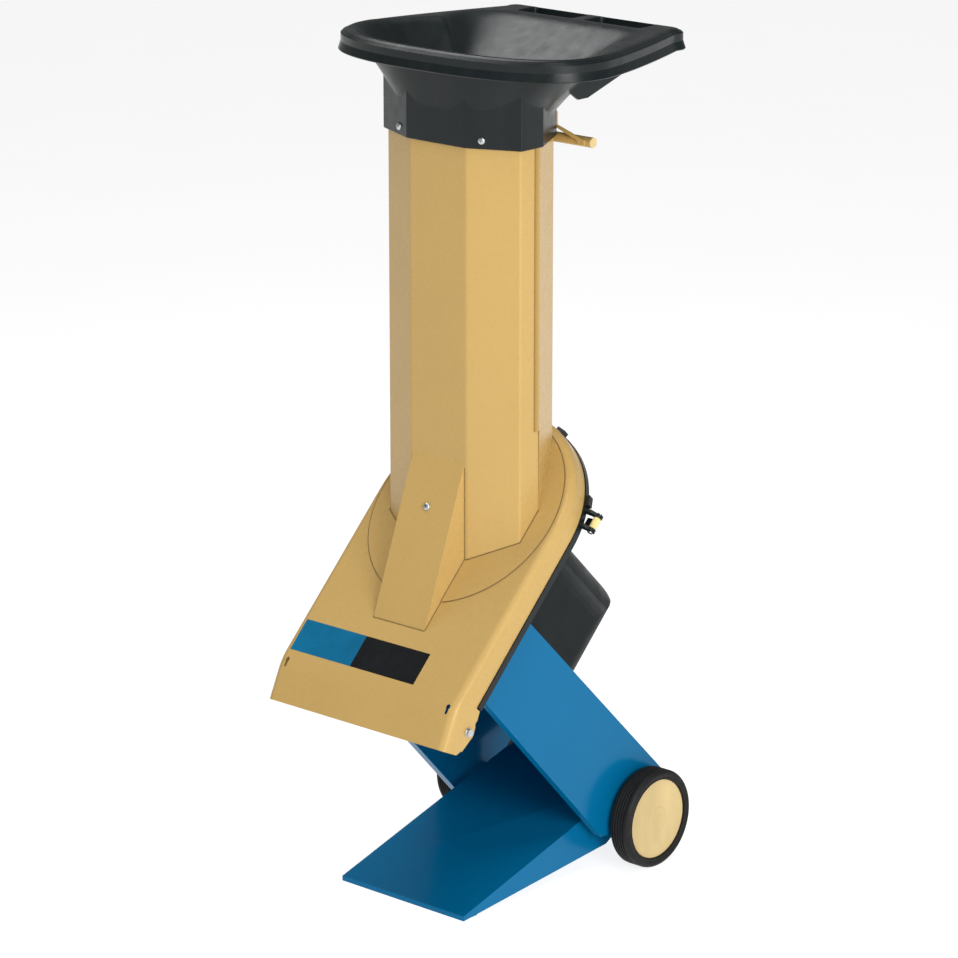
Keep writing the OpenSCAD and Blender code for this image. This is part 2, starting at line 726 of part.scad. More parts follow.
// The hood's cross-section and its two rounded side profiles, drawn in by an inset
module hood_section(inset) {
    circle(hood_r - inset);
    translate([-hood_r + inset, -hood_low + inset]) square([2 * (hood_r - inset), hood_low - inset]);
}
function round_end(a0, a1, inset, top) = let (r = hood_round - inset, n0 = -hood_end + inset) concat(
    [[a1, top], [a0, top]], arc([a0 + r, n0 + r], r, 180, 270, 8), arc([a1 - r, n0 + r], r, 270, 360, 8));
module hood_form(inset, top) intersection() {
    slab(-hood_end + inset, top) hood_section(inset);
    along_x(-hood_r, hood_r) polygon(round_end(-hood_low + inset, hood_r - inset, inset, top));
    along_v(-hood_low, hood_r) polygon(round_end(-hood_r + inset, hood_r - inset, inset, top));
}
module hood_screw_places() for (v = hood_screw_v) both()
    translate([hood_r + hood_lip / 2, v, -housing_back]) children();
module motor_hood() color(black_plastic) tilted() difference() {
    union() {
        hood_form(0, -housing_back);
        hood_screw_places() slab(-hood_wall, 0) {
            circle(hood_lip / 2 + 2);
            translate([-hood_lip, -hood_lip / 2 - 2]) square([hood_lip, hood_lip + 4]);
        }
    }
    hood_form(hood_wall, -housing_back + 1);
    hood_screw_places() cylinder(h = 20, r = screw_r + screw_gap, center = true);
    translate([-hood_r - 1, switch_v - 10, -switch_n - 10]) cube([hood_wall + 2, 20, 20]);
}
module hood_screws() color(zinc) tilted() hood_screw_places() {
    translate([0, 0, -hood_wall - screw_head_h]) cylinder(h = screw_head_h, r = screw_head_r);
    translate([0, 0, -hood_wall - eps]) cylinder(h = hood_wall, r = screw_r);
}

// Switch box on the hood's left side, with its push buttons and the power inlet
module at_switch() tilted() translate([-hood_r, switch_v, -switch_n]) children();
module switch_box() color(black_plastic) at_switch() difference() {
    translate([-switch_h, -switch_w / 2, -switch_l / 2]) cube([switch_h - eps, switch_w, switch_l]);
    translate([-switch_h + switch_wall, -switch_w / 2 + switch_wall, -switch_l / 2 + switch_wall])
        cube([switch_h, switch_w - 2 * switch_wall, switch_l - 2 * switch_wall]);
    for (s = [-1, 1]) translate([0, 0, s * button_pitch / 2])
        rod_x(-switch_h - 1, -switch_h + switch_wall + 1, button_r + part_gap);
    translate([-switch_h / 2, 0, -switch_l / 2 - 1]) cylinder(h = switch_wall + 2, r = inlet_r - 5);
}
module push_button(s) at_switch() translate([0, 0, s * button_pitch / 2]) {
    rod_x(-switch_h - button_h, -switch_h + switch_wall + 1, button_r);
    rod_x(-switch_h + switch_wall + part_gap, -switch_h + switch_wall + 3, button_r + 2);
}
module start_button() color(button_green) push_button(1);
module stop_button() color(button_red) push_button(-1);
module at_inlet() at_switch() translate([-switch_h / 2, 0, -switch_l / 2]) children();
module power_inlet() color(black_plastic) at_inlet() difference() {
    union() {
        translate([0, 0, -inlet_l]) cylinder(h = inlet_l, r = inlet_r - 3);
        translate([0, 0, -inlet_l / 3]) cylinder(h = inlet_l / 3, r = inlet_r);
        translate([0, 0, -eps]) cylinder(h = switch_wall + 2, r = inlet_r - 5 - screw_gap);
    }
    inlet_pin_places() translate([0, 0, -far / 2]) cylinder(h = far, r = inlet_pin_r + run_gap);
}
module inlet_pin_places() for (s = [-1, 1]) translate([s * inlet_pin_pitch / 2, 0, 0]) children();
module inlet_pins() color(zinc) at_inlet() inlet_pin_places() translate([0, 0, -inlet_l - inlet_pin_l])
    cylinder(h = inlet_l + inlet_pin_l, r = inlet_pin_r);

// Cover, with its open lower end, hinge ears and the tower's throat
function cover_half() = concat(
    [[0, 0]],
    arc([cover_r - cover_fillet, -cover_fillet], cover_fillet, 90, 0, 6),
    [[cover_r, -cover_skirt], [cover_r - cover_sheet, -cover_skirt]],
    arc([cover_r - cover_fillet, -cover_fillet], cover_fillet - cover_sheet, 0, 90, 6),
    [[0, -cover_sheet]]);
module hinge_ear() along_x(cover_r - cover_sheet, cover_r) difference() {
    union() {
        translate([-hinge_reach, -hinge_depth]) circle(ear_r);
        polygon([
            [-housing_reach - 2, -cover_skirt + 1],
            [-housing_reach - 2, -hinge_depth],
            [-hinge_reach + scallop_offset - 1, -ear_depth + 5],
            [-hinge_reach, -hinge_depth - ear_r],
            [-hinge_reach - ear_toe_offset, -hinge_depth - ear_toe_drop],
            [-hinge_reach - ear_toe_offset - 8, -cover_skirt - 2]
        ]);
    }
    translate([-hinge_reach + scallop_offset, -ear_depth - 1]) circle(scallop_r);
}
module cover_run(length) both() rotate([90, 0, 0]) linear_extrude(length) polygon(cover_half());
module at_lip_bend() translate([0, -lip_bend_reach, -lip_bend_r]) children();
module at_lip() at_lip_bend() rotate([lip_bend, 0, 0]) translate([0, 0, lip_bend_r]) children();
module lip_turn() at_lip_bend() both() rotate([0, -90, 180]) rotate_extrude(angle = lip_bend, $fn = 180)
    polygon([for (p = cover_half()) [p[1] + lip_bend_r, p[0]]]);
module disc_cover() color(tan_paint) difference() {
    tilted() union() {
        rotate_extrude(angle = 180) polygon(cover_half());
        cover_run(lip_bend_reach);
        lip_turn();
        at_lip() cover_run(lip_l);
        both() hinge_ear();
    }
    throat();
    at_hinge() rod_x(-far, far, hinge_r + run_gap);
    both() tilted() at_lip() translate([cover_r - 5, -lip_l, -cover_skirt]) rotate([45, 0, 0])
        cube([20, 1.4 * skirt_corner, 1.4 * skirt_corner], center = true);
    both() tilted() translate([hole_x, -hole_v, 0]) slab(-drill / 2, drill / 2) key_hole();
}
module key_hole() {
    circle(hole_r);
    translate([0, -hole_slip]) circle(hole_tail_r);
    translate([-hole_tail_r, -hole_slip]) square([2 * hole_tail_r, hole_slip]);
}
module tower_flange() color(tan_paint) difference() {
    tilted() slab(0, flange_t) circle(flange_r);
    throat();
}

// Tower shells, brace and their screws
module tower_front() color(tan_paint) difference() {
    prism(sheet_section(front_path, tower_sheet), disc_z - cover_r, tower_top);
    below_face(flange_t);
    collar_screw_holes();
}
module tower_back() color(tan_paint) difference() {
    prism(sheet_section(back_path, tower_sheet), disc_z - cover_r, tower_top);
    below_face(flange_t);
    prism([[-far, -far], [far, -far], [far, tower_side_y], [-far, tower_side_y]], 0, lap_z);
    strap_bolt_places() cylinder(h = drill, r = screw_r + screw_gap, center = true);
}
module gusset_outside() machine() along_x(-gusset_w / 2, gusset_w / 2) polygon([
    [-gusset_toe, face_z(-gusset_toe)],
    [tower_front_y, face_z(tower_front_y)],
    [tower_front_y, gusset_top_z]
]);
module gusset_inside() {
    inset_y = tower_sheet / cos(gusset_lean);
    reach = 40;
    machine() along_x(-gusset_w / 2 + tower_sheet, gusset_w / 2 - tower_sheet) polygon([
        [inset_y - gusset_toe - reach * tan(gusset_lean), face_z(-gusset_toe) - reach],
        [tower_front_y + reach, face_z(tower_front_y) - reach],
        [tower_front_y + reach, gusset_top_z + (reach - inset_y) / tan(gusset_lean)]
    ]);
}
module at_gusset_screw() machine() translate([0, gusset_screw_y, gusset_screw_z])
    rotate([90 - gusset_lean, 0, 0]) children();
module gusset() color(tan_paint) difference() {
    gusset_outside();
    gusset_inside();
    tilted() slab(-far, flange_t + part_gap / 4) circle(flange_r + 1);
    at_gusset_screw() cylinder(h = drill, r = screw_r + screw_gap, center = true);
}
module pan_screw(length) {
    rim = screw_head_h - screw_dome;
    cylinder(h = rim, r1 = screw_head_r, r2 = screw_head_r - 1);
    translate([0, 0, rim]) cylinder(h = screw_dome, r1 = screw_head_r - 1, r2 = screw_head_r - 4);
    translate([0, 0, -length]) cylinder(h = length + eps, r = screw_r);
}
module gusset_screw() color(zinc) at_gusset_screw() pan_screw(tower_sheet + screw_grip);

// Hopper
module collar_screw_places() {
    a = tower_right[0];
    b = tower_right[1];
    n = edge_normal(a, b);
    p = a + collar_screw_share * (b - a) + (collar_fit + hopper_wall) * n;
    both() machine() translate([p[0], p[1], collar_screw_z]) rotate([0, 0, atan2(n[1], n[0])])
        rotate([0, 90, 0]) children();
}
module collar_screw_holes() collar_screw_places() cylinder(h = drill, r = screw_r + screw_gap, center = true);
module hopper_screws() color(zinc) collar_screw_places() pan_screw(hopper_wall + collar_fit + screw_grip);
module bowl_inside() hull() {
    prism(mouth_outline, rim_z + 1, rim_z + 2);
    prism(throat_outline, cone_z, cone_z + eps);
}
module bowl_outside() hull() {
    prism(offset_closed(mouth_outline, hopper_wall), rim_z - 1, rim_z);
    prism(collar_outline, cone_z - 2 * hopper_wall, cone_z - hopper_wall);
}
module finger_slot() machine() translate([slot_rib / 2, slot_y - slot_w / 2, rim_z - rim_skirt]) {
    translate([slot_corner, 0, 0]) cube([slot_l - 2 * slot_corner, slot_w, 2 * rim_skirt]);
    translate([0, slot_corner, 0]) cube([slot_l, slot_w - 2 * slot_corner, 2 * rim_skirt]);
    for (x = [slot_corner, slot_l - slot_corner]) for (y = [slot_corner, slot_w - slot_corner])
        translate([x, y, 0]) cylinder(h = 2 * rim_skirt, r = slot_corner);
}
module hopper() color(black_plastic) difference() {
    union() {
        prism(rim_outline, rim_z - hopper_wall, rim_z);
        difference() {
            prism(rim_outline, rim_z - rim_skirt, rim_z - eps);
            prism(offset_closed(rim_outline, -hopper_wall), 0, far);
        }
        bowl_outside();
        prism(collar_outline, collar_z, cone_z);
        both() machine() along_x(web_x - hopper_wall / 2, web_x + hopper_wall / 2) polygon([
            [tower_back_y, rim_z - hopper_wall],
            [web_end_y, rim_z - hopper_wall],
            [web_end_y, rim_z - rim_skirt + web_lift],
            [tower_back_y + web_toe, rim_z - rim_skirt - web_drop],
            [tower_back_y, rim_z - rim_skirt - web_drop]
        ]);
    }
    bowl_inside();
    prism(offset_closed(tower_outline, collar_fit), 0, tower_top + part_gap);
    throat();
    both() finger_slot();
    collar_screw_holes();
    strap_bolt_places() cylinder(h = drill, r = screw_r + screw_gap, center = true);
}

// Handle bar across the tower's back
module at_bar() machine() translate([0, bar_y, bar_z]) children();
module handle_bar() color(tan_paint) at_bar() difference() {
    rod_x(-bar_half + 2, bar_half - 2, bar_r);
    rod_x(-far, far, bar_r - bar_wall);
}
module handle_caps() color(tan_paint) both() at_bar() {
    rod_x(bar_half - 2, bar_half, bar_r);
    rod_x(bar_half - 12, bar_half - 2 + eps, bar_r - bar_wall - run_gap);
}
module strap_bolt_places() both() at_bar() for (x = strap_bolt_x)
    translate([x, -bar_r, bar_r + strap_rise + strap_seat_h / 2]) rotate([-90, 0, 0]) children();
module handle_straps() color(tan_paint) difference() {
    seat_low = bar_r + strap_rise;
    seat_start = tower_back_half - strap_seat;
    both() at_bar() translate([0, -bar_r, 0]) rotate([90, 0, 0]) linear_extrude(strap_t) polygon([
        [seat_start, seat_low],
        [strap_seat_end - strap_strip, seat_low],
        [strap_pad_end - strap_pad, strap_pad_h / 2],
        [strap_pad_end - strap_pad, -strap_pad_h],
        [strap_pad_end, -strap_pad_h],
        [strap_pad_end, strap_pad_h],
        [strap_seat_end, seat_low],
        [strap_seat_end, seat_low + strap_seat_h],
        [seat_start, seat_low + strap_seat_h]
    ]);
    strap_bolt_places() cylinder(h = drill, r = screw_r + screw_gap, center = true);
}
module handle_screws() color(zinc) strap_bolt_places() pan_screw(strap_t + hopper_wall + screw_grip);

// Cutter
module knife_places() for (s = [0, 180]) rotate([0, 0, s])
    translate([knife_r0, -knife_w / 2, -disc_depth]) children();
module knife_screw_places() for (s = [0, 180]) rotate([0, 0, s]) for (r = knife_screw_r)
    translate([r, 4, -disc_depth]) children();
module counter_knife() color(steel) tilted()
    translate([-tower_front_half, slope_v(tower_front_y, face_z(tower_front_y)) - counter_w - 4, 0])
        slab(-disc_depth + knife_t + cut_gap, -cover_sheet) square([2 * tower_front_half, counter_w]);
module cutter_disc() color(steel) tilted() difference() {
    slab(-disc_back, -disc_depth) circle(disc_r);
    slab(-far, far) circle(shaft_r + run_gap);
    knife_places() translate([0, -chip_slot_w, -far / 2]) cube([knife_l, chip_slot_w - part_gap, far]);
    knife_screw_places() cylinder(h = drill, r = screw_r + screw_gap, center = true);
}
module knives() color(zinc) tilted() difference() {
    knife_places() cube([knife_l, knife_w, knife_t]);
    knife_screw_places() cylinder(h = drill, r = screw_r + screw_gap, center = true);
    knife_screw_places() translate([0, 0, knife_t - knife_head_h])
        cylinder(h = 2 * knife_head_h, r = screw_head_r + screw_gap);
}
module knife_screws() color(zinc) tilted() knife_screw_places() {
    translate([0, 0, knife_t - knife_head_h]) cylinder(h = knife_head_h - 0.5, r = screw_head_r);
    translate([0, 0, -disc_t + 1]) cylinder(h = disc_t + knife_t - knife_head_h - 1 + eps, r = screw_r);
}
module ejector_vanes() color(steel) tilted() for (i = [0 : vane_count - 1])
    rotate([0, 0, 45 + 360 * i / vane_count]) translate([vane_r0, -vane_t / 2, -disc_back - vane_h])
        cube([disc_r - vane_r0 - 4, vane_t, vane_h]);
module disc_washer() color(zinc) tilted() slab(-disc_depth, -disc_depth + washer_t) difference() {
    circle(washer_r);
    circle(bolt_r + screw_gap);
}
module disc_bolt() color(zinc) tilted() {
    translate([0, 0, -disc_depth + washer_t]) cylinder(h = 7, r = 9, $fn = 6);
    translate([0, 0, -disc_depth - disc_bolt_l]) cylinder(h = disc_bolt_l + washer_t + eps, r = bolt_r);
}
module motor_shaft() color(steel) tilted() difference() {
    slab(-shaft_end, -disc_depth - part_gap / 4) circle(shaft_r);
    slab(-disc_depth - disc_bolt_l - 1, 0) circle(bolt_r + run_gap);
}
module rotor() color(iron) tilted() difference() {
    slab(-stator_n - stator_l + 4, -stator_n - 4) circle(rotor_r);
    slab(-far, 0) circle(shaft_r + run_gap);
}
module cooling_fan() color(black_plastic) tilted() difference() {
    union() {
        slab(-fan_n - fan_t, -fan_n) circle(shaft_r + 6);
        slab(-fan_n - 2, -fan_n) circle(fan_r);
        for (i = [0 : 7]) rotate([0, 0, 45 * i]) translate([shaft_r + 4, -1, -fan_n - fan_t])
            cube([fan_r - shaft_r - 5, 2, fan_t - 1]);
    }
    slab(-far, 0) circle(shaft_r + run_gap);
}

foot_ramp();
chute_panel_left();
chute_panel_right();
chute_back();
stand_bolts();
axle();
axle_spacers();
axle_clips();
rear_housing();
hinge_bolts();
hinge_nuts();
latch_pins();
motor_flange();
motor_case();
stator();
front_bearing();
rear_bearing();
rear_shield();
capacitor();
motor_hood();
hood_screws();
switch_box();
power_inlet();
inlet_pins();
disc_cover();
tower_flange();
tower_front();
tower_back();
gusset();
gusset_screw();
hopper();
hopper_screws();
handle_bar();
handle_straps();
handle_screws();
handle_caps();
counter_knife();
cutter_disc();
knives();
knife_screws();
ejector_vanes();
disc_washer();
disc_bolt();
motor_shaft();
rotor();
cooling_fan();
tyre_left();
tyre_right();
hub_left();
hub_right();
hub_cap_left();
hub_cap_right();
latch_left();
latch_right();
start_button();
stop_button();
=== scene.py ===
"""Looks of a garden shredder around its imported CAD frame: finishes, detailed meshes, floor, light, camera."""
import json
import math

import bmesh
import bpy
import numpy as np
from mathutils import Matrix, Vector

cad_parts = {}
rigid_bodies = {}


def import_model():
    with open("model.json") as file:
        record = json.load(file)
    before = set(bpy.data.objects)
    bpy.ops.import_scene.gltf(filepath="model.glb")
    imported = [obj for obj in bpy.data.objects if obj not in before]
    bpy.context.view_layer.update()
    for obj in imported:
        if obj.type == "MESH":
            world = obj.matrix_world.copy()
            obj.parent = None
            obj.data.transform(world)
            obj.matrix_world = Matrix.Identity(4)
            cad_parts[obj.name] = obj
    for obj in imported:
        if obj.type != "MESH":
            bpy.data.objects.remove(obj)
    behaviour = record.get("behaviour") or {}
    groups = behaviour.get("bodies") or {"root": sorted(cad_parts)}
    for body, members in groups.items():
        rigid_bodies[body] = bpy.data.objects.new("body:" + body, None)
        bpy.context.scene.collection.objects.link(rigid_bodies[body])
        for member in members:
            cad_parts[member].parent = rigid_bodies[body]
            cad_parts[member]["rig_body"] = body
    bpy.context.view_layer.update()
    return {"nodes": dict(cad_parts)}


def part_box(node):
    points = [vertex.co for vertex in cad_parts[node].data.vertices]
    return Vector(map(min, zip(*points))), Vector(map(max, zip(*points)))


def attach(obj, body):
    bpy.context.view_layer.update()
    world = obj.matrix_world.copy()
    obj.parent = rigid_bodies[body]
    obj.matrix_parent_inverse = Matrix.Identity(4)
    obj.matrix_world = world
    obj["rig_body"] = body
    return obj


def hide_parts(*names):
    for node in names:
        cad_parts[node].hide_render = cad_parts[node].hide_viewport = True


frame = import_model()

MM = 0.001
NODES = frame["nodes"]
SLOT = {name: node.data.materials[0].name for name, node in NODES.items()}

# Frames of reference. Lengths are in millimetres, y runs back from the foot's front edge, and v, n run up
# the cover's slope and out of its face.
FOOT_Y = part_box("foot_ramp")[0].y / MM
SLOPE = math.sqrt(0.5)
DISC_Y, DISC_Z = 149, 608


def at(x, y, z):
    return Vector((x, y + FOOT_Y, z)) * MM


def on_slope(x, v, n):
    return at(x, DISC_Y + (v - n) * SLOPE, DISC_Z + (v + n) * SLOPE)


UP_SLOPE = Vector((0, SLOPE, SLOPE))
OFF_SLOPE = Vector((0, -SLOPE, SLOPE))
ACROSS = Vector((1, 0, 0))


def frame_along(place, axis):
    """A frame at the place, in millimetres, whose Z runs along the axis."""
    turn = Vector(axis).to_track_quat("Z", "Y").to_matrix().to_4x4()
    return Matrix.Translation(place) @ turn @ Matrix.Scale(MM, 4)


# Finishes
class Finish:
    """A Principled material whose colour, roughness and bump come from noise in the piece's own space."""

    def __init__(self, name, **constants):
        self.material = bpy.data.materials.new(name)
        self.material.use_nodes = True
        self.tree = self.material.node_tree
        self.shader = self.tree.nodes["Principled BSDF"]
        self.coords = self.tree.nodes.new("ShaderNodeTexCoord").outputs["Object"]
        self.normal = None
        for socket, value in constants.items():
            self.shader.inputs[socket.replace("_", " ")].default_value = value

    def node(self, kind, links, **values):
        made = self.tree.nodes.new(kind)
        for key, value in values.items():
            setattr(made, key, value)
        for socket, source in links.items():
            if isinstance(source, bpy.types.NodeSocket):
                self.tree.links.new(source, made.inputs[socket])
            else:
                made.inputs[socket].default_value = source
        return made

    def noise(self, scale, detail=2.0, stretch=(1, 1, 1)):
        mapped = self.node("ShaderNodeMapping", {"Vector": self.coords, "Scale": stretch})
        links = {"Vector": mapped.outputs[0], "Scale": scale, "Detail": detail}
        return self.node("ShaderNodeTexNoise", links).outputs["Fac"]

    def spread(self, source, low, high):
        """The source's middle range, spread from low to high."""
        links = {"Value": source, "From Min": 0.3, "From Max": 0.7, "To Min": low, "To Max": high}
        return self.node("ShaderNodeMapRange", links).outputs[0]

    def mixed(self, amount, first, second):
        made = self.node("ShaderNodeMix", {0: amount, 6: first, 7: second}, data_type="RGBA")
        return made.outputs[2]

    def colour(self, source):
        self.tree.links.new(source, self.shader.inputs["Base Color"])

    def rough(self, source, low, high):
        self.tree.links.new(self.spread(source, low, high), self.shader.inputs["Roughness"])

    def bump(self, source, strength, distance):
        links = {"Height": source, "Strength": strength, "Distance": distance * MM}
        if self.normal:
            links["Normal"] = self.normal
        self.normal = self.node("ShaderNodeBump", links).outputs[0]
        self.tree.links.new(self.normal, self.shader.inputs["Normal"])


def tone(colour, factor):
    return tuple(min(1.0, c * factor) for c in colour) + (1.0,)


# Tint by which the paint is darkened where shade is painted into it
SHADE_TINT = (0.62, 0.57, 0.50)


def enamel(name, colour, low, high, shine, tint, painted_shade=None):
    """Sprayed enamel on sheet steel: faint cloudiness, orange peel, a slow waviness.

    The tint colours its reflections. The argument after the tint, where given, is a function that makes the
    mask where shade is painted into the colour.
    """
    made = Finish(name, Specular_IOR_Level=shine, Specular_Tint=tint + (1.0,))
    cloud = made.spread(made.noise(9, 4), 0, 1)
    body = made.mixed(cloud, tone(colour, 0.98), tone(colour, 1.02))
    # Painted shade: the paint colour darkened by the tint, mixed in by the mask
    if painted_shade:
        shade_colour = tuple(c * d for c, d in zip(colour, SHADE_TINT)) + (1.0,)
        body = made.mixed(painted_shade(made), body, shade_colour)
    made.colour(body)
    made.rough(made.noise(60, 3), low, high)
    made.bump(made.noise(5, 1), 0.06, 3.0)
    made.bump(made.noise(110, 1), 0.008, 0.4)
    return made.material


# The tower's side, and where the painted shade beside the rear panel's lap starts and fades out
TOWER_SIDE_X, LAP_Y, LAP_SHADE_END_Y = 135, 154, 166


def lap_painted_shade(made):
    """Painted shade on the tower's sides, darkest where the rear panel's lap ends and fading out towards the
    back.
    """
    place = made.node("ShaderNodeSeparateXYZ", {"Vector": made.coords})
    across = made.node("ShaderNodeMath", {0: place.outputs["X"]}, operation="ABSOLUTE").outputs[0]
    links = {"Value": across, "From Min": (TOWER_SIDE_X - 0.5) * MM, "From Max": (TOWER_SIDE_X + 0.5) * MM}
    on_side = made.node("ShaderNodeMapRange", links).outputs[0]
    links = {"Value": place.outputs["Y"], "To Min": 1.0, "To Max": 0.0,
             "From Min": at(0, LAP_Y, 0).y, "From Max": at(0, LAP_SHADE_END_Y, 0).y}
    from_edge = made.node("ShaderNodeMapRange", links).outputs[0]
    return made.node("ShaderNodeMath", {0: on_side, 1: from_edge}, operation="MULTIPLY").outputs[0]


def moulding(name, colour, low, high, grain, scuff=0.0, shine=0.30):
    """Moulded plastic: fine sparked grain, flow streaks and pale scuffs."""
    made = Finish(name, Specular_IOR_Level=shine)
    flow = made.spread(made.noise(14, 5, (1, 1, 0.35)), 0, 1)
    body = made.mixed(flow, tone(colour, 0.82), tone(colour, 1.15))
    streak = made.spread(made.noise(38, 6, (1, 1, 0.12)), -scuff, scuff)
    body = made.mixed(streak, body, tone(colour, 3.2))
    made.colour(body)
    made.rough(made.noise(45, 4), low, high)
    made.bump(made.noise(130, 2), grain, 0.3)
    return made.material


def metal(name, colour, low, high, brushed=(1, 1, 1), tarnish=0.75):
    """Bare or plated metal: brushed in one direction or spangled, with a duller tint in patches."""
    made = Finish(name, Metallic=1.0)
    patch = made.spread(made.noise(110, 4), 0, 1)
    made.colour(made.mixed(patch, tone(colour, tarnish), tone(colour, 1.0)))
    made.rough(made.noise(300, 4, brushed), low, high)
    made.bump(made.noise(1400, 3, brushed), 0.12, 0.10)
    return made.material


def winding(name, colour):
    """Lacquered copper wire laid side by side."""
    made = Finish(name, Metallic=0.85, Coat_Weight=0.5)
    wave = made.node("ShaderNodeTexWave", {"Vector": made.coords, "Scale": 180.0, "Distortion": 2.5})
    wire = wave.outputs["Fac"]
    made.colour(made.mixed(wire, tone(colour, 0.55), tone(colour, 1.0)))
    made.rough(made.noise(200, 3), 0.30, 0.48)
    made.bump(wire, 0.5, 0.6)
    return made.material


def rubber(name, colour):
    """Tyre rubber: dull, mottled, with a trace of pale dust in the grain."""
    made = Finish(name, Specular_IOR_Level=0.22)
    mottle = made.spread(made.noise(70, 5), 0, 1)
    body = made.mixed(mottle, tone(colour, 0.8), tone(colour, 1.25))
    dust = made.spread(made.noise(650, 2), 0, 0.03)
    made.colour(made.mixed(dust, body, (0.20, 0.19, 0.17, 1)))
    made.rough(made.noise(120, 3), 0.50, 0.68)
    made.bump(made.noise(700, 3), 0.25, 0.20)
    return made.material


TAN = (0.520, 0.343, 0.118)
PALE_TAN = (0.620, 0.465, 0.215)
BLUE = (0.0005, 0.128, 0.285)
BLACK = (0.0060, 0.0095, 0.0105)
YELLOW = (0.740, 0.640, 0.270)
SAND_SHINE, BLUE_SHINE = (1.0, 0.88, 0.66), (0.06, 0.52, 1.0)
FINISH = {
    "tan_paint": enamel("sand_enamel", TAN, 0.24, 0.32, 0.26, SAND_SHINE),
    "blue_paint": enamel("blue_enamel", BLUE, 0.15, 0.22, 0.30, BLUE_SHINE),
    "black_plastic": moulding("black_moulding", BLACK, 0.26, 0.38, 0.010, scuff=0.10),
    "cream_plastic": moulding("cream_moulding", PALE_TAN, 0.38, 0.50, 0.10),
    "yellow_plastic": moulding("yellow_moulding", YELLOW, 0.34, 0.46, 0.10),
    "green_plastic": moulding("green_moulding", (0.020, 0.240, 0.045), 0.30, 0.42, 0.08),
    "red_plastic": moulding("red_moulding", (0.480, 0.016, 0.012), 0.30, 0.42, 0.08),
    "tyre_rubber": rubber("tyre_rubber", (0.0075, 0.0075, 0.0080)),
    "zinc": metal("zinc_plate", (0.62, 0.65, 0.68), 0.24, 0.40),
    "steel": metal("ground_steel", (0.52, 0.53, 0.55), 0.22, 0.38, (1, 0.08, 1)),
    "aluminium": metal("cast_aluminium", (0.70, 0.71, 0.72), 0.38, 0.55),
    "iron": metal("lamination_iron", (0.30, 0.29, 0.29), 0.40, 0.60, (0.1, 1, 1)),
    "contact_brass": metal("contact_brass", (0.78, 0.57, 0.25), 0.22, 0.36),
    "windings": winding("copper_winding", (0.72, 0.34, 0.14)),
}


# Mesh tools
def add(name, bm, like, stands_for=(), finish=None, sharp=38.0, slot=None):
    """Makes a piece of the mesh, riding with the CAD node it is like, in that node's slot or its own."""
    slot = slot or SLOT[like]
    bmesh.ops.recalc_face_normals(bm, faces=bm.faces)
    bm.verts.index_update()
    mesh = bpy.data.meshes.new(name)
    mesh.from_pydata([v.co[:] for v in bm.verts], [], [[v.index for v in f.verts] for f in bm.faces])
    bm.free()
    mesh.polygons.foreach_set("use_smooth", [True] * len(mesh.polygons))
    mesh.set_sharp_from_angle(angle=math.radians(sharp))
    mesh.materials.append(finish or FINISH[slot])
    obj = bpy.data.objects.new(name, mesh)
    bpy.context.scene.collection.objects.link(obj)
    weigh = obj.modifiers.new("normals", "WEIGHTED_NORMAL")
    weigh.keep_sharp = True
    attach(obj, NODES[like]["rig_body"])
    if stands_for:
        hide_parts(*stands_for)
    return obj


def bevel(bm, low, high, width, segments):
    """Rounds the edges whose faces meet at an angle between low and high degrees."""
    chosen = [e for e in bm.edges
              if e.is_manifold and low < math.degrees(e.calc_face_angle()) < high]
    if chosen:
        bmesh.ops.bevel(bm, geom=chosen, offset=width * MM, offset_type="OFFSET", segments=segments,
                        profile=0.5, affect="EDGES", clamp_overlap=True)


def cad_mesh(node):
    """A node's mesh, welded, with its flat faces whole again."""
    bm = bmesh.new()
    bm.from_mesh(NODES[node].data)
    bmesh.ops.remove_doubles(bm, verts=bm.verts, dist=0.005 * MM)
    bmesh.ops.dissolve_limit(bm, angle_limit=math.radians(0.4), verts=bm.verts, edges=bm.edges)
    return bm


# Angles in degrees between two faces, from which an edge counts as a fold or as a sharp edge
FOLD_FROM, FOLD_TO, SHARP_FROM = 12, 75, 40


def softened(node, edge, fold=0.0, finish=None):
    """Stands for a node with its edges rounded, and its folds, the blunter edges, rounded further."""
    bm = cad_mesh(node)
    if fold:
        bevel(bm, FOLD_FROM, FOLD_TO, fold, 4)
    bevel(bm, FOLD_TO if fold else SHARP_FROM, 180, edge, 2)
    return add(node + "_finished", bm, node, [node], finish)


def boolean(bm, tool, operation):
    """The mesh with the tool's mesh joined to it or cut from it. Both are used up."""
    pair = []
    for part in (bm, tool):
        bmesh.ops.recalc_face_normals(part, faces=part.faces)
        mesh = bpy.data.meshes.new("work")
        part.to_mesh(mesh)
        part.free()
        pair.append(bpy.data.objects.new("work", mesh))
        bpy.context.scene.collection.objects.link(pair[-1])
    cut = pair[0].modifiers.new("cut", "BOOLEAN")
    cut.object, cut.operation, cut.solver = pair[1], operation, "EXACT"
    made = bmesh.new()
    made.from_mesh(pair[0].evaluated_get(bpy.context.evaluated_depsgraph_get()).to_mesh())
    for obj in pair:
        bpy.data.meshes.remove(obj.data)
    bmesh.ops.remove_doubles(made, verts=made.verts, dist=0.01 * MM)
    return made


def join(whole, part):
    """Adds one mesh to another. The part is used up."""
    mesh = bpy.data.meshes.new("work")
    part.to_mesh(mesh)
    part.free()
    whole.from_mesh(mesh)
    bpy.data.meshes.remove(mesh)


def loft(bm, rows, wrap=False):
    """Joins rows of points, each a closed ring, with faces; wrap joins the last row to the first."""
    rings = [[bm.verts.new(p) for p in row] for row in rows]
    for a, b in zip(rings, rings[1:] + (rings[:1] if wrap else [])):
        for i in range(len(a)):
            j = (i + 1) % len(a)
            bm.faces.new((a[i], a[j], b[j], b[i]))
    return rings


def prism(bm, rings):
    """A closed solid from rings of points: its sides and both end faces."""
    made = loft(bm, rings)
    bm.faces.new(made[0][::-1])
    bm.faces.new(made[-1])


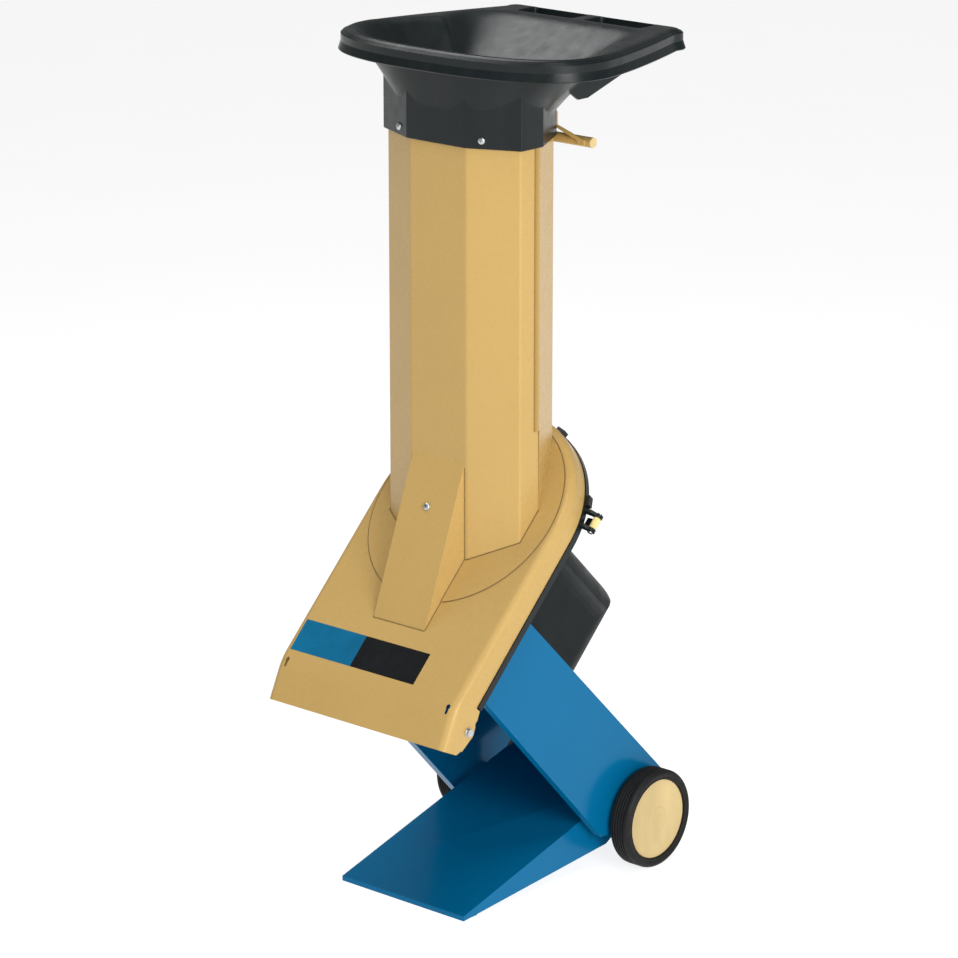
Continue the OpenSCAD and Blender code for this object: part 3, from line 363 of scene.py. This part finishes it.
def turned(bm, profile, place, steps=96):
    """Turns (radius, height) points round the Z axis of the frame called place. A ring closes on itself."""
    ends = [i for i, (r, _) in enumerate(profile) if r == 0]
    kept = [p for p in profile if p[0] > 0]
    turns = [2 * math.pi * i / steps for i in range(steps)]
    rows = [[place @ Vector((r * math.cos(a), r * math.sin(a), h)) for a in turns] for r, h in kept]
    rings = loft(bm, rows, wrap=not ends)
    for end in ends:
        tip = bm.verts.new(place @ Vector((0, 0, profile[end][1])))
        ring = rings[0] if end == 0 else rings[-1]
        for i in range(steps):
            bm.faces.new((ring[i], ring[(i + 1) % steps], tip))


def arc(cx, cy, r, start, stop, steps):
    angles = [math.radians(start + (stop - start) * i / steps) for i in range(steps + 1)]
    return [(cx + r * math.cos(a), cy + r * math.sin(a)) for a in angles]


def islands(node):
    """Each separate solid of a node, as a list of its corner points."""
    bm = cad_mesh(node)
    left, found = set(bm.verts), []
    while left:
        todo, group = [left.pop()], []
        while todo:
            vert = todo.pop()
            group.append(vert.co.copy())
            near = {e.other_vert(vert) for e in vert.link_edges} & left
            left -= near
            todo.extend(near)
        found.append(group)
    bm.free()
    return found


def along(points, axis):
    """The middle of a solid across the axis, and how far it reaches along the axis, both ways."""
    depth = [p.dot(axis) for p in points]
    low, high = min(depth), max(depth)
    middle = Vector([(min(p[i] for p in points) + max(p[i] for p in points)) / 2 for i in range(3)])
    return middle - axis * middle.dot(axis), low, high


# Outlines in the plan view
def mirrored(half):
    return half + [(-x, y) for x, y in reversed(half) if abs(x) > 1e-6]


def offset(points, d):
    """A closed outline, counter-clockwise, moved outwards by d."""
    p = np.array(points, float)
    step = np.roll(p, -1, 0) - p
    step /= np.linalg.norm(step, axis=1)[:, None]
    normal = np.stack([step[:, 1], -step[:, 0]], 1)
    before = np.roll(normal, 1, 0)
    return p + d * (normal + before) / (1 + (normal * before).sum(1))[:, None]


def rounded(points, r, steps=5):
    """A polygon with its corners cut by a smooth bend."""
    made = []
    for i, p in enumerate(points):
        p = Vector(p)
        back = (Vector(points[i - 1]) - p).normalized()
        ahead = (Vector(points[(i + 1) % len(points)]) - p).normalized()
        cut = r * math.tan((math.pi - back.angle(ahead)) / 2)
        for k in range(steps + 1):
            t = k / steps
            made.append(tuple(p + back * cut * (1 - t) ** 2 + ahead * cut * t ** 2))
    return made


def reach(outline, centre, angles):
    """The distance from the centre to a closed outline in each direction."""
    p = np.array(outline, float) - np.array(centre)
    q = np.roll(p, -1, 0)
    far = np.zeros(len(angles))
    for i, a in enumerate(angles):
        side = np.array([-math.sin(a), math.cos(a)])
        front = np.array([math.cos(a), math.sin(a)])
        h0, h1 = p @ side, q @ side
        crosses = (h0 <= 0) != (h1 <= 0)
        share = h0[crosses] / (h0[crosses] - h1[crosses])
        far[i] = ((p[crosses] + (q - p)[crosses] * share[:, None]) @ front).max()
    return far


TOWER = mirrored([(57, 87), (TOWER_SIDE_X, 122), (TOWER_SIDE_X, 164), (93, 242)])
RIM_Z, COLLAR_Z, CONE_Z, BOWL_Z = 1336, 1190, 1240, 1251
SCALLOP_CORNERS = (1253, 1268, 1251, 1225, 1225, 1251, 1268, 1253)
SCALLOP_MIDDLES = (1248, 1258, 1230, 1222, 1230, 1258, 1248, 1256)
CONE_FOOT_Z, BLEND = 1215, 13
RIM_SKIRT, WALL, COLLAR_FIT, TOWER_SHEET = 32, 4, 2, 1.5


def hopper_outline(half_w, front, wide, rear, rear_half, corner):
    """Half circle-like front, sides that draw in towards the back, and rounded back corners."""
    side = rear - corner - wide
    lean = math.atan(1.3 * (half_w - rear_half) / side)
    curve = [math.radians(a) for a in range(0, 91, 2)]
    half = [(half_w * math.sin(a) ** 0.8, wide - (wide - front) * max(0.0, math.cos(a)) ** 0.8)
            for a in curve]
    half += [(half_w - (half_w - rear_half) * t ** 1.3, wide + t * (side - corner * math.sin(lean)))
             for t in (i / 24 for i in range(1, 24))]
    half += arc(rear_half - corner * math.cos(lean), rear - corner, corner, -math.degrees(lean), 90, 14)
    return mirrored(half)


# Hopper: collar, cone, downturned rim, rolled lip and bowl as one moulding
HOPPER_CENTRE = (0, 175)
RIM = dict(half_w=250, front=46, wide=186, rear=466, rear_half=180, corner=26)
MOUTH = dict(half_w=224, front=72, wide=186, rear=388, rear_half=170, corner=66)
RIM_ROLL, RIM_LIP, RIM_FLARE = 12, 11, 6
SLOT_X, SLOT_Y, SLOT_CORNER = (12, 124), (406, 452), 8
WEB_X, WEB = 152, [(200, 1331), (446, 1331), (446, 1315), (252, 1254), (230, 1254), (200, 1275)]


def slot_ring(side, grow, z):
    """A finger slot's outline at a height, grown outwards."""
    x0, x1 = sorted(side * (x + d) for x, d in zip(SLOT_X, (-grow, grow)))
    y0, y1 = SLOT_Y[0] - grow, SLOT_Y[1] + grow
    corners = [(x0, y0), (x1, y0), (x1, y1), (x0, y1)]
    return [at(x, y, z) for x, y in rounded(corners, SLOT_CORNER + grow, 6)]


def build_hopper():
    centre = HOPPER_CENTRE
    rim, mouth = hopper_outline(**RIM), hopper_outline(**MOUTH)
    facets = offset(TOWER, COLLAR_FIT + WALL).tolist()
    collar = rounded(facets, 4)
    corners = [math.atan2(y - centre[1], x - centre[0]) for x, y in facets]
    angles = sorted([math.radians(i) for i in range(-180, 180)]
                    + [c + math.radians(d) for c in corners for d in (-1.2, -0.8, -0.4, 0.4, 0.8, 1.2)])
    angles = [a for a, b in zip(angles, angles[1:] + [math.inf]) if b - a > math.radians(0.12)]
    compass = [(math.cos(a), math.sin(a)) for a in angles]

    def out(outline, d=0.0):
        return reach(offset(outline, d) if d else outline, centre, angles)

    def scallop(a):
        """Height where the cone meets the collar: an arc on each facet, set by its ends and middle."""
        for i, start in enumerate(corners):
            span = (corners[(i + 1) % len(corners)] - start) % (2 * math.pi)
            s = ((a - start) % (2 * math.pi)) / span
            if s < 1:
                left, right = SCALLOP_CORNERS[i], SCALLOP_CORNERS[(i + 1) % len(corners)]
                middle = SCALLOP_MIDDLES[i] * 4 * s * (1 - s)
                return left * (1 - s) * (1 - 2 * s) + middle + right * s * (2 * s - 1)

    def smoothed(radii):
        """Radii at the angles, averaged over their neighbours so that no corner is left."""
        even = np.radians(np.arange(-180, 180))
        levels = np.interp(even, angles, radii, period=2 * math.pi)
        steps = np.arange(-36, 37)
        weights = np.exp(-0.5 * (steps / BLEND) ** 2)
        levels = sum(w * np.roll(levels, int(i)) for i, w in zip(steps, weights)) / weights.sum()
        return np.interp(angles, even, levels, period=2 * math.pi)

    top, top_z, collar_r = out(mouth, WALL), RIM_Z - WALL, out(collar)
    aimed = np.array([scallop(a) for a in angles])
    cone_low = smoothed(collar_r - (top - collar_r) * (aimed - CONE_FOOT_Z) / (top_z - aimed))
    meet = CONE_FOOT_Z + (top_z - CONE_FOOT_Z) * (collar_r - cone_low) / (top - cone_low)
    rows = [(out(collar, -1.0), COLLAR_Z), (collar_r, COLLAR_Z + 1.0)]
    rows += [(collar_r, COLLAR_Z + (meet - 1.5 - COLLAR_Z) * s) for s in (0.35, 0.7, 1.0)]
    for s in (0.02, 0.12, 0.25, 0.4, 0.55, 0.7, 0.82, 0.92):
        rows.append((collar_r + (top - collar_r) * s, meet + (top_z - meet) * s))
    rows += [(out(mouth, WALL + 4), top_z), (out(rim, -WALL - 3), top_z), (out(rim, -WALL), top_z - 3)]
    rows += [(out(rim, -WALL), RIM_Z - RIM_SKIRT + 1.5), (out(rim, -WALL + 1.2), RIM_Z - RIM_SKIRT)]
    rows += [(out(rim, -1.2), RIM_Z - RIM_SKIRT), (out(rim), RIM_Z - RIM_SKIRT + 1.5)]
    rows += [(out(rim, -2.2), RIM_Z - 24), (out(rim, -4.4), RIM_Z - 17)]
    rows += [(out(rim, -RIM_FLARE - RIM_ROLL * (1 - c)), RIM_Z - RIM_ROLL * (1 - s))
             for c, s in arc(0, 0, 1, 0, 90, 6)]
    flat_from, flat_to = out(rim, -RIM_FLARE - RIM_ROLL), out(mouth, RIM_LIP)
    rows += [(flat_from + (flat_to - flat_from) * s, RIM_Z) for s in (0.33, 0.67)]
    throat, edge = out(offset(TOWER, -TOWER_SHEET).tolist()), out(mouth)
    bend, foot = RIM_LIP / (RIM_Z - BOWL_Z), smoothed(throat)
    level = edge + (foot - edge) * bend
    for s in (0, 0.15, 0.3, 0.45, 0.6, 0.8, 1.0):
        turn = flat_to * (1 - s) ** 2 + edge * 2 * s * (1 - s) + level * s ** 2
        rows.append((turn, RIM_Z - RIM_LIP * s ** 2))
    for s in (0.22, 0.33, 0.45, 0.57, 0.69, 0.81, 0.92, 1.0):
        rows.append((edge + (foot - edge) * s, RIM_Z + (BOWL_Z - RIM_Z) * s))
    inside = out(rounded(offset(TOWER, COLLAR_FIT).tolist(), 2))
    rows += [(throat, BOWL_Z - 7), (throat, CONE_Z - 3), (inside, CONE_Z - 3.6), (inside, COLLAR_Z)]

    def ring(radii, heights):
        return [at(centre[0] + r * c, centre[1] + r * s, z)
                for r, z, (c, s) in zip(radii, np.broadcast_to(heights, radii.shape), compass)]

    bm, webs, bowl, extra, slots = (bmesh.new() for _ in range(5))
    loft(bm, [ring(*row) for row in rows], wrap=True)
    prism(bowl, [ring(foot + 1.5, COLLAR_Z), ring(foot + 1.5, BOWL_Z), ring(edge + 2, RIM_Z),
                 ring(edge + 2, RIM_Z + 9)])
    for side in (-1, 1):
        prism(webs, [[at(side * WEB_X + d, y, z) for y, z in WEB] for d in (-2, 2)])
        prism(extra, [slot_ring(side, 2.6, z) for z in (RIM_Z - 18, RIM_Z - 2)])
        prism(slots, [slot_ring(side, grow, z)
                      for grow, z in ((1.2, RIM_Z - 40), (0, RIM_Z - 17), (0, RIM_Z - 3), (0.8, RIM_Z - 0.8),
                                      (2.4, RIM_Z + 1))])
    webs = boolean(webs, bowl, "DIFFERENCE")
    bm = boolean(bm, webs, "UNION")
    bm = boolean(bm, extra, "UNION")
    bm = boolean(bm, slots, "DIFFERENCE")
    return add("hopper_moulding", bm, "hopper", ["hopper"])


build_hopper()


# Wheels: grooved tyre, spoked body and pale cap, turned about the axle
WHEEL_R, WHEEL_W, WHEEL_FACE, TYRE_IN = 80, 37, 205, 65
AXLE_Y, AXLE_Z = 380, 80
GROOVES = (6, 11, 16, 21, 26)


def tyre_profile():
    made = [(TYRE_IN, 1.5), (70, 0.8), (73, 0.2)] + arc(74.5, 5.0, 5.0, -80, -10, 5)
    for g in GROOVES:
        made += [(WHEEL_R - 0.3, g - 1.35), (WHEEL_R - 0.9, g - 1.1), (WHEEL_R - 2, g - 0.7),
                 (WHEEL_R - 2, g + 0.7), (WHEEL_R - 0.9, g + 1.1), (WHEEL_R - 0.3, g + 1.35)]
        made += [(WHEEL_R, g + 2.0), (WHEEL_R, g + 3.1)]
    made += arc(WHEEL_R - 7.5, WHEEL_W - 7.5, 7.5, 8, 84, 8)
    made += [(71.0, WHEEL_W - 0.4), (69.5, WHEEL_W - 1.4), (67.5, WHEEL_W - 1.6), (66.6, WHEEL_W - 0.9),
             (65.6, WHEEL_W - 1.2), (TYRE_IN, WHEEL_W - 2.2)]
    return made


CAP_PROFILE = [(0, 35.0), (15, 35.0), (18.2, 34.9), (19.4, 34.5), (20.4, 33.9), (22.0, 33.8), (40, 33.6),
               (57, 33.2), (58.4, 32.7), (59.6, 32.7), (61.0, 33.1), (63.2, 33.0), (64.2, 32.4), (64.4, 31.0),
               (64.4, 28.4), (59, 28.4), (59, 30.0), (0, 30.0)]


def build_wheel(side, sign):
    place = frame_along(at(sign * (WHEEL_FACE - WHEEL_W), AXLE_Y, AXLE_Z), (sign, 0, 0))
    bm = bmesh.new()
    turned(bm, tyre_profile(), place, 144)
    add("tyre_%s_ribbed" % side, bm, "tyre_" + side, ["tyre_" + side], FINISH["tyre_rubber"], 50)
    bm = bmesh.new()
    turned(bm, CAP_PROFILE, place, 128)
    add("hub_cap_%s_dished" % side, bm, "hub_cap_" + side, ["hub_cap_" + side], sharp=50)
    softened("hub_" + side, 0.8)


build_wheel("left", -1)
build_wheel("right", 1)


# Screws and bolts
def cross_recess(bm, place, depth, high):
    """Cuts a cross-shaped drive recess into a head whose top is at the given height."""
    bar = [(-3.0, -0.55), (3.0, -0.55), (3.0, 0.55), (-3.0, 0.55)]
    bars = []
    for turn in (0, math.pi / 2):
        spin = place @ Matrix.Rotation(turn, 4, "Z")
        bars.append(bmesh.new())
        prism(bars[-1], [[spin @ Vector((x * s, y * s, z)) for x, y in bar]
                         for s, z in ((0.55, high - depth), (1.0, high + 0.5))])
    return boolean(bm, boolean(*bars, "UNION"), "DIFFERENCE")


def pan_screws(node, axis_of, radius=6.0, height=4.0, shank=3.0):
    """Pan heads with a flange edge, a dome and a cross recess, each where the node's own screw is."""
    whole = bmesh.new()
    for group in islands(node):
        axis = axis_of(group)
        middle, low, high = along(group, axis)
        place = frame_along(middle + axis * (high - height * MM), axis)
        length = (high - low) / MM - height
        dome = [(0, height), (1.6, height - 0.05), (3.2, height - 0.35), (4.6, height - 1.0),
                (5.5, height - 1.9), (radius, 1.0), (radius, 0.0), (shank, 0.0), (shank, 0.5 - length),
                (shank - 0.5, -length), (0, -length)]
        head = bmesh.new()
        turned(head, dome, place, 40)
        head = cross_recess(head, place, 2.0, height)
        join(whole, head)
    return add(node + "_recessed", whole, node, [node])


FACET = (Vector(TOWER[1]) - Vector(TOWER[0])).normalized()
GUSSET_RUN, GUSSET_RISE = 91, 245
GUSSET_LEAN = math.atan2(GUSSET_RUN, GUSSET_RISE)
pan_screws("hopper_screws", lambda g: Vector((math.copysign(FACET.y, g[0].x), -FACET.x, 0)))
pan_screws("gusset_screw", lambda g: Vector((0, -math.cos(GUSSET_LEAN), math.sin(GUSSET_LEAN))))
pan_screws("handle_screws", lambda g: Vector((0, 1, 0)))
pan_screws("hood_screws", lambda g: -OFF_SLOPE)


BOLT_HEAD, BOLT_HEX_R, BOLT_R = 5, 6.4, 4


def hinge_bolts():
    """Hexagon heads on a washer, one on each side of the cover's ears."""
    whole = bmesh.new()
    for group in islands("hinge_bolts"):
        axis = ACROSS * math.copysign(1, group[0].x)
        middle, low, high = along(group, axis)
        place = frame_along(middle + axis * (high - BOLT_HEAD * MM), axis)
        length = (high - low) / MM - BOLT_HEAD
        turned(whole, [(7.5, 0), (7.5, 1.0), (7.0, 1.3), (3.9, 1.3), (3.9, 0)], place, 48)
        hexagon = arc(0, 0, BOLT_HEX_R, 0, 300, 5)
        head = bmesh.new()
        prism(head, [[place @ Vector((x, y, z)) for x, y in hexagon] for z in (1.2, BOLT_HEAD)])
        bevel(head, 40, 180, 0.7, 3)
        join(whole, head)
        shank = [(0, 1.25), (BOLT_R, 1.25), (BOLT_R, 0.6 - length), (BOLT_R - 0.6, -length), (0, -length)]
        turned(whole, shank, place, 40)
    add("hinge_bolts_hexagon", whole, "hinge_bolts", ["hinge_bolts"])


hinge_bolts()

# Latches: a fluted barrel on its pin, with a dark catch
LATCH_X, LATCH_V, LATCH_N, LATCH_R = 198, 50, -56, 6
LATCH_HALF, LATCH_BORE, FLUTES, CATCH_REACH = 9.4, 3.3, 14, 20


def build_latch(side, sign):
    node = "latch_" + side
    place = frame_along(on_slope(sign * LATCH_X, LATCH_V, LATCH_N), UP_SLOPE)
    turns = [2 * math.pi * i / 168 for i in range(168)]
    profile = [(LATCH_BORE, -LATCH_HALF, 0), (4.9, -LATCH_HALF, 0), (5.6, 0.6 - LATCH_HALF, 0.1),
               (LATCH_R, 1.6 - LATCH_HALF, 0.6), (LATCH_R, LATCH_HALF - 1.6, 0.6),
               (5.6, LATCH_HALF - 0.6, 0.1), (4.9, LATCH_HALF, 0), (LATCH_BORE, LATCH_HALF, 0)]
    barrel = bmesh.new()
    rows = []
    for r, h, depth in profile:
        radii = [r - depth * (0.5 + 0.5 * math.cos(FLUTES * a)) ** 3 for a in turns]
        rows.append([place @ Vector((c * math.cos(a), c * math.sin(a), h)) for c, a in zip(radii, turns)])
    loft(barrel, rows, wrap=True)
    add(node + "_barrel", barrel, node, [node], sharp=50)
    catch = bmesh.new()
    outline = [(-CATCH_REACH, -8), (-4, -8), (-4, 8), (-CATCH_REACH, 8)]
    prism(catch, [[on_slope(sign * (LATCH_X + x), LATCH_V + v, LATCH_N + n) for x, v in rounded(outline, 2)]
                  for n in (-LATCH_R + 0.1, -LATCH_R + 3.9)])
    bevel(catch, 60, 180, 0.7, 3)
    add(node + "_catch", catch, node, slot="black_plastic")


build_latch("left", -1)
build_latch("right", 1)

# Folded sheet, mouldings and small parts: the CAD shape with rounded edges
for node, edge, fold in (
        ("tower_front", 0.35, 3.0), ("gusset", 0.35, 2.0), ("tower_flange", 0.4, 0),
        ("disc_cover", 0.5, 0), ("foot_ramp", 0.6, 0), ("chute_panel_left", 0.6, 0),
        ("chute_panel_right", 0.6, 0), ("chute_back", 0.6, 0), ("rear_housing", 0.9, 0),
        ("switch_box", 1.2, 0), ("power_inlet", 0.8, 0), ("inlet_pins", 0.5, 0),
        ("latch_pins", 0.5, 0), ("handle_bar", 0.5, 0), ("handle_straps", 0.6, 0),
        ("handle_caps", 0.7, 0), ("start_button", 0.9, 0), ("stop_button", 0.9, 0), ("stand_bolts", 0.5, 0),
        ("hinge_nuts", 0.5, 0), ("axle", 0.8, 0), ("axle_spacers", 0.5, 0), ("axle_clips", 0.3, 0),
        ("knives", 0.3, 0), ("cutter_disc", 0.5, 0), ("counter_knife", 0.3, 0)):
    softened(node, edge, fold)
# The rear panel's enamel has shade painted on the tower's sides beside its lap
softened("tower_back", 0.35, 3.0,
         enamel("lap_shaded_enamel", TAN, 0.24, 0.32, 0.26, SAND_SHINE, lap_painted_shade))
softened("motor_hood", 1.2, finish=moulding("hood_moulding", BLACK, 0.34, 0.46, 0.012, shine=0.14))

# Dark lines of painted shade along the joints where the welded sheets meet on the cover
FLANGE_R, FLANGE_T, GUSSET_HALF, GUSSET_TOE, GUSSET_TOP = 172, 1.5, 53, -4, 700


def on_face(x, y, n):
    """A place over the cover's face, straight up from a place in the plan."""
    return at(x, y, DISC_Z + y - DISC_Y + n / SLOPE)


def bead(bm, path, r):
    """A thin round line along a path of places."""
    rings = []
    for i, place in enumerate(path):
        ahead = path[min(i + 1, len(path) - 1)] - path[max(i - 1, 0)]
        turn = ahead.to_track_quat("Z", "Y").to_matrix()
        rings.append([place + turn @ Vector((math.cos(a), math.sin(a), 0)) * r * MM
                      for a in (math.radians(d) for d in range(0, 360, 45))])
    prism(bm, rings)


def joint_shade_lines():
    lines = bmesh.new()
    clear = math.degrees(math.asin((GUSSET_HALF + 3) / FLANGE_R))
    ring = arc(0, 0, FLANGE_R + 0.6, clear - 90, 270 - clear, 220)
    bead(lines, [on_slope(x, v, 0.8) for x, v in ring], 0.8)
    foot = offset(TOWER, 0.5).tolist()
    front_y = foot[0][1]
    run = [(GUSSET_HALF + 1.5, front_y)] + foot + [(-GUSSET_HALF - 1.5, front_y)]
    bead(lines, [on_face(x, y, FLANGE_T + 0.4) for x, y in run], 0.8)
    step_y = DISC_Y - SLOPE * math.sqrt(FLANGE_R ** 2 - GUSSET_HALF ** 2)
    for side in (-1, 1):
        x = side * (GUSSET_HALF + 0.4)
        bead(lines, [on_face(x, GUSSET_TOE, 0.4), on_face(x, step_y - 1, 0.4), on_face(x, step_y + 1, 1.9),
                     on_face(x, front_y, 1.9)], 0.8)
        bead(lines, [on_face(x, front_y, 1.9), at(x, front_y, GUSSET_TOP - 6)], 0.6)
    bead(lines, [on_face(x, GUSSET_TOE - 0.6, 0.3) for x in (-GUSSET_HALF, GUSSET_HALF)], 0.6)
    # Painted shade: a dark brown finish on the beads stands for the shadow in the seams
    seam_shade = moulding("joint_painted_shade", (0.190, 0.120, 0.040), 0.5, 0.6, 0.05)
    add("joint_shade_lines", lines, "disc_cover", finish=seam_shade)


joint_shade_lines()

# Plain two-tone band on the cover's face
BAND_LOW, BAND_HIGH = -305, -250
BAND_LEFT, BAND_SPLIT, BAND_RIGHT = -172, -45, 87


def band(name, x0, x1, finish, slot):
    outline = [(x0, BAND_LOW), (x1, BAND_LOW), (x1, BAND_HIGH), (x0, BAND_HIGH)]
    bm = bmesh.new()
    prism(bm, [[on_slope(x, v, n) for x, v in rounded(outline, 1.5)] for n in (0.02, 0.25)])
    bevel(bm, 60, 180, 0.08, 2)
    add(name, bm, "disc_cover", finish=finish, slot=slot)


FILM_BLUE = moulding("film_blue", (0.002, 0.130, 0.265), 0.22, 0.32, 0.008, shine=0.2)
FILM_BLACK = moulding("film_black", (0.008, 0.009, 0.010), 0.22, 0.32, 0.008, shine=0.2)
band("band_blue", BAND_LEFT, BAND_SPLIT, FILM_BLUE, "blue_paint")
band("band_black", BAND_SPLIT, BAND_RIGHT, FILM_BLACK, "black_plastic")

# The rest of the CAD nodes keep their shape and get their finish
for name, node in NODES.items():
    if not node.hide_render:
        node.data.materials.clear()
        node.data.materials.append(FINISH[SLOT[name]])

# Floor
FLOOR_HALF = 30
floor_mesh = bpy.data.meshes.new("floor")
corners = [(-FLOOR_HALF, -FLOOR_HALF, 0), (FLOOR_HALF, -FLOOR_HALF, 0),
           (FLOOR_HALF, FLOOR_HALF, 0), (-FLOOR_HALF, FLOOR_HALF, 0)]
floor_mesh.from_pydata(corners, [], [(0, 1, 2, 3)])
floor = bpy.data.objects.new("floor", floor_mesh)
bpy.context.scene.collection.objects.link(floor)
pale = Finish("pale_floor", Roughness=0.9, Emission_Color=(1, 1, 1, 1), Emission_Strength=0.82)
patches = pale.spread(pale.noise(3, 3), 0, 1)
pale.colour(pale.mixed(patches, (0.36, 0.36, 0.355, 1), (0.38, 0.38, 0.375, 1)))
floor_mesh.materials.append(pale.material)

# Soft studio light: an even pale surround, a key from the right, two softboxes overhead, a strip in front
world = bpy.data.worlds.new("studio")
world.use_nodes = True
world.node_tree.nodes["Background"].inputs["Color"].default_value = (1, 1, 1, 1)
world.node_tree.nodes["Background"].inputs["Strength"].default_value = 0.22
bpy.context.scene.world = world


def softbox(name, place, aim, size, power):
    light = bpy.data.lights.new(name, "AREA")
    light.shape, light.size, light.size_y, light.energy = "RECTANGLE", size[0], size[1], power
    obj = bpy.data.objects.new(name, light)
    obj.location = place
    obj.rotation_euler = (Vector(aim) - Vector(place)).to_track_quat("-Z", "Y").to_euler()
    bpy.context.scene.collection.objects.link(obj)


softbox("key", (4.6, -1.9, 2.2), (0, 0, 0.7), (2.4, 2.4), 205)
softbox("overhead", (-1.6, 0.2, 3.7), (0, 0, 0.9), (2.0, 2.0), 54)
softbox("top_right", (1.5, -0.9, 4.2), (0.1, -0.1, 0.5), (1.4, 1.4), 40)
softbox("strip", (0.9, -5.2, 2.0), (0, 0, 1.2), (2.4, 0.9), 20)

# Camera at the photograph's viewing angle, tipped down and turned by these degrees
CAMERA_TIP, CAMERA_TURN = 16, 41.856
camera = bpy.data.cameras.new("camera")
camera.sensor_width = 36
camera.lens = 155.77
view = bpy.data.objects.new("camera", camera)
view.location = at(4117.9, -4417.0, 2415.9)
view.rotation_euler = (math.radians(90 - CAMERA_TIP), 0, math.radians(CAMERA_TURN))
bpy.context.scene.collection.objects.link(view)
bpy.context.scene.camera = view
bpy.context.scene.view_settings.view_transform = "Standard"
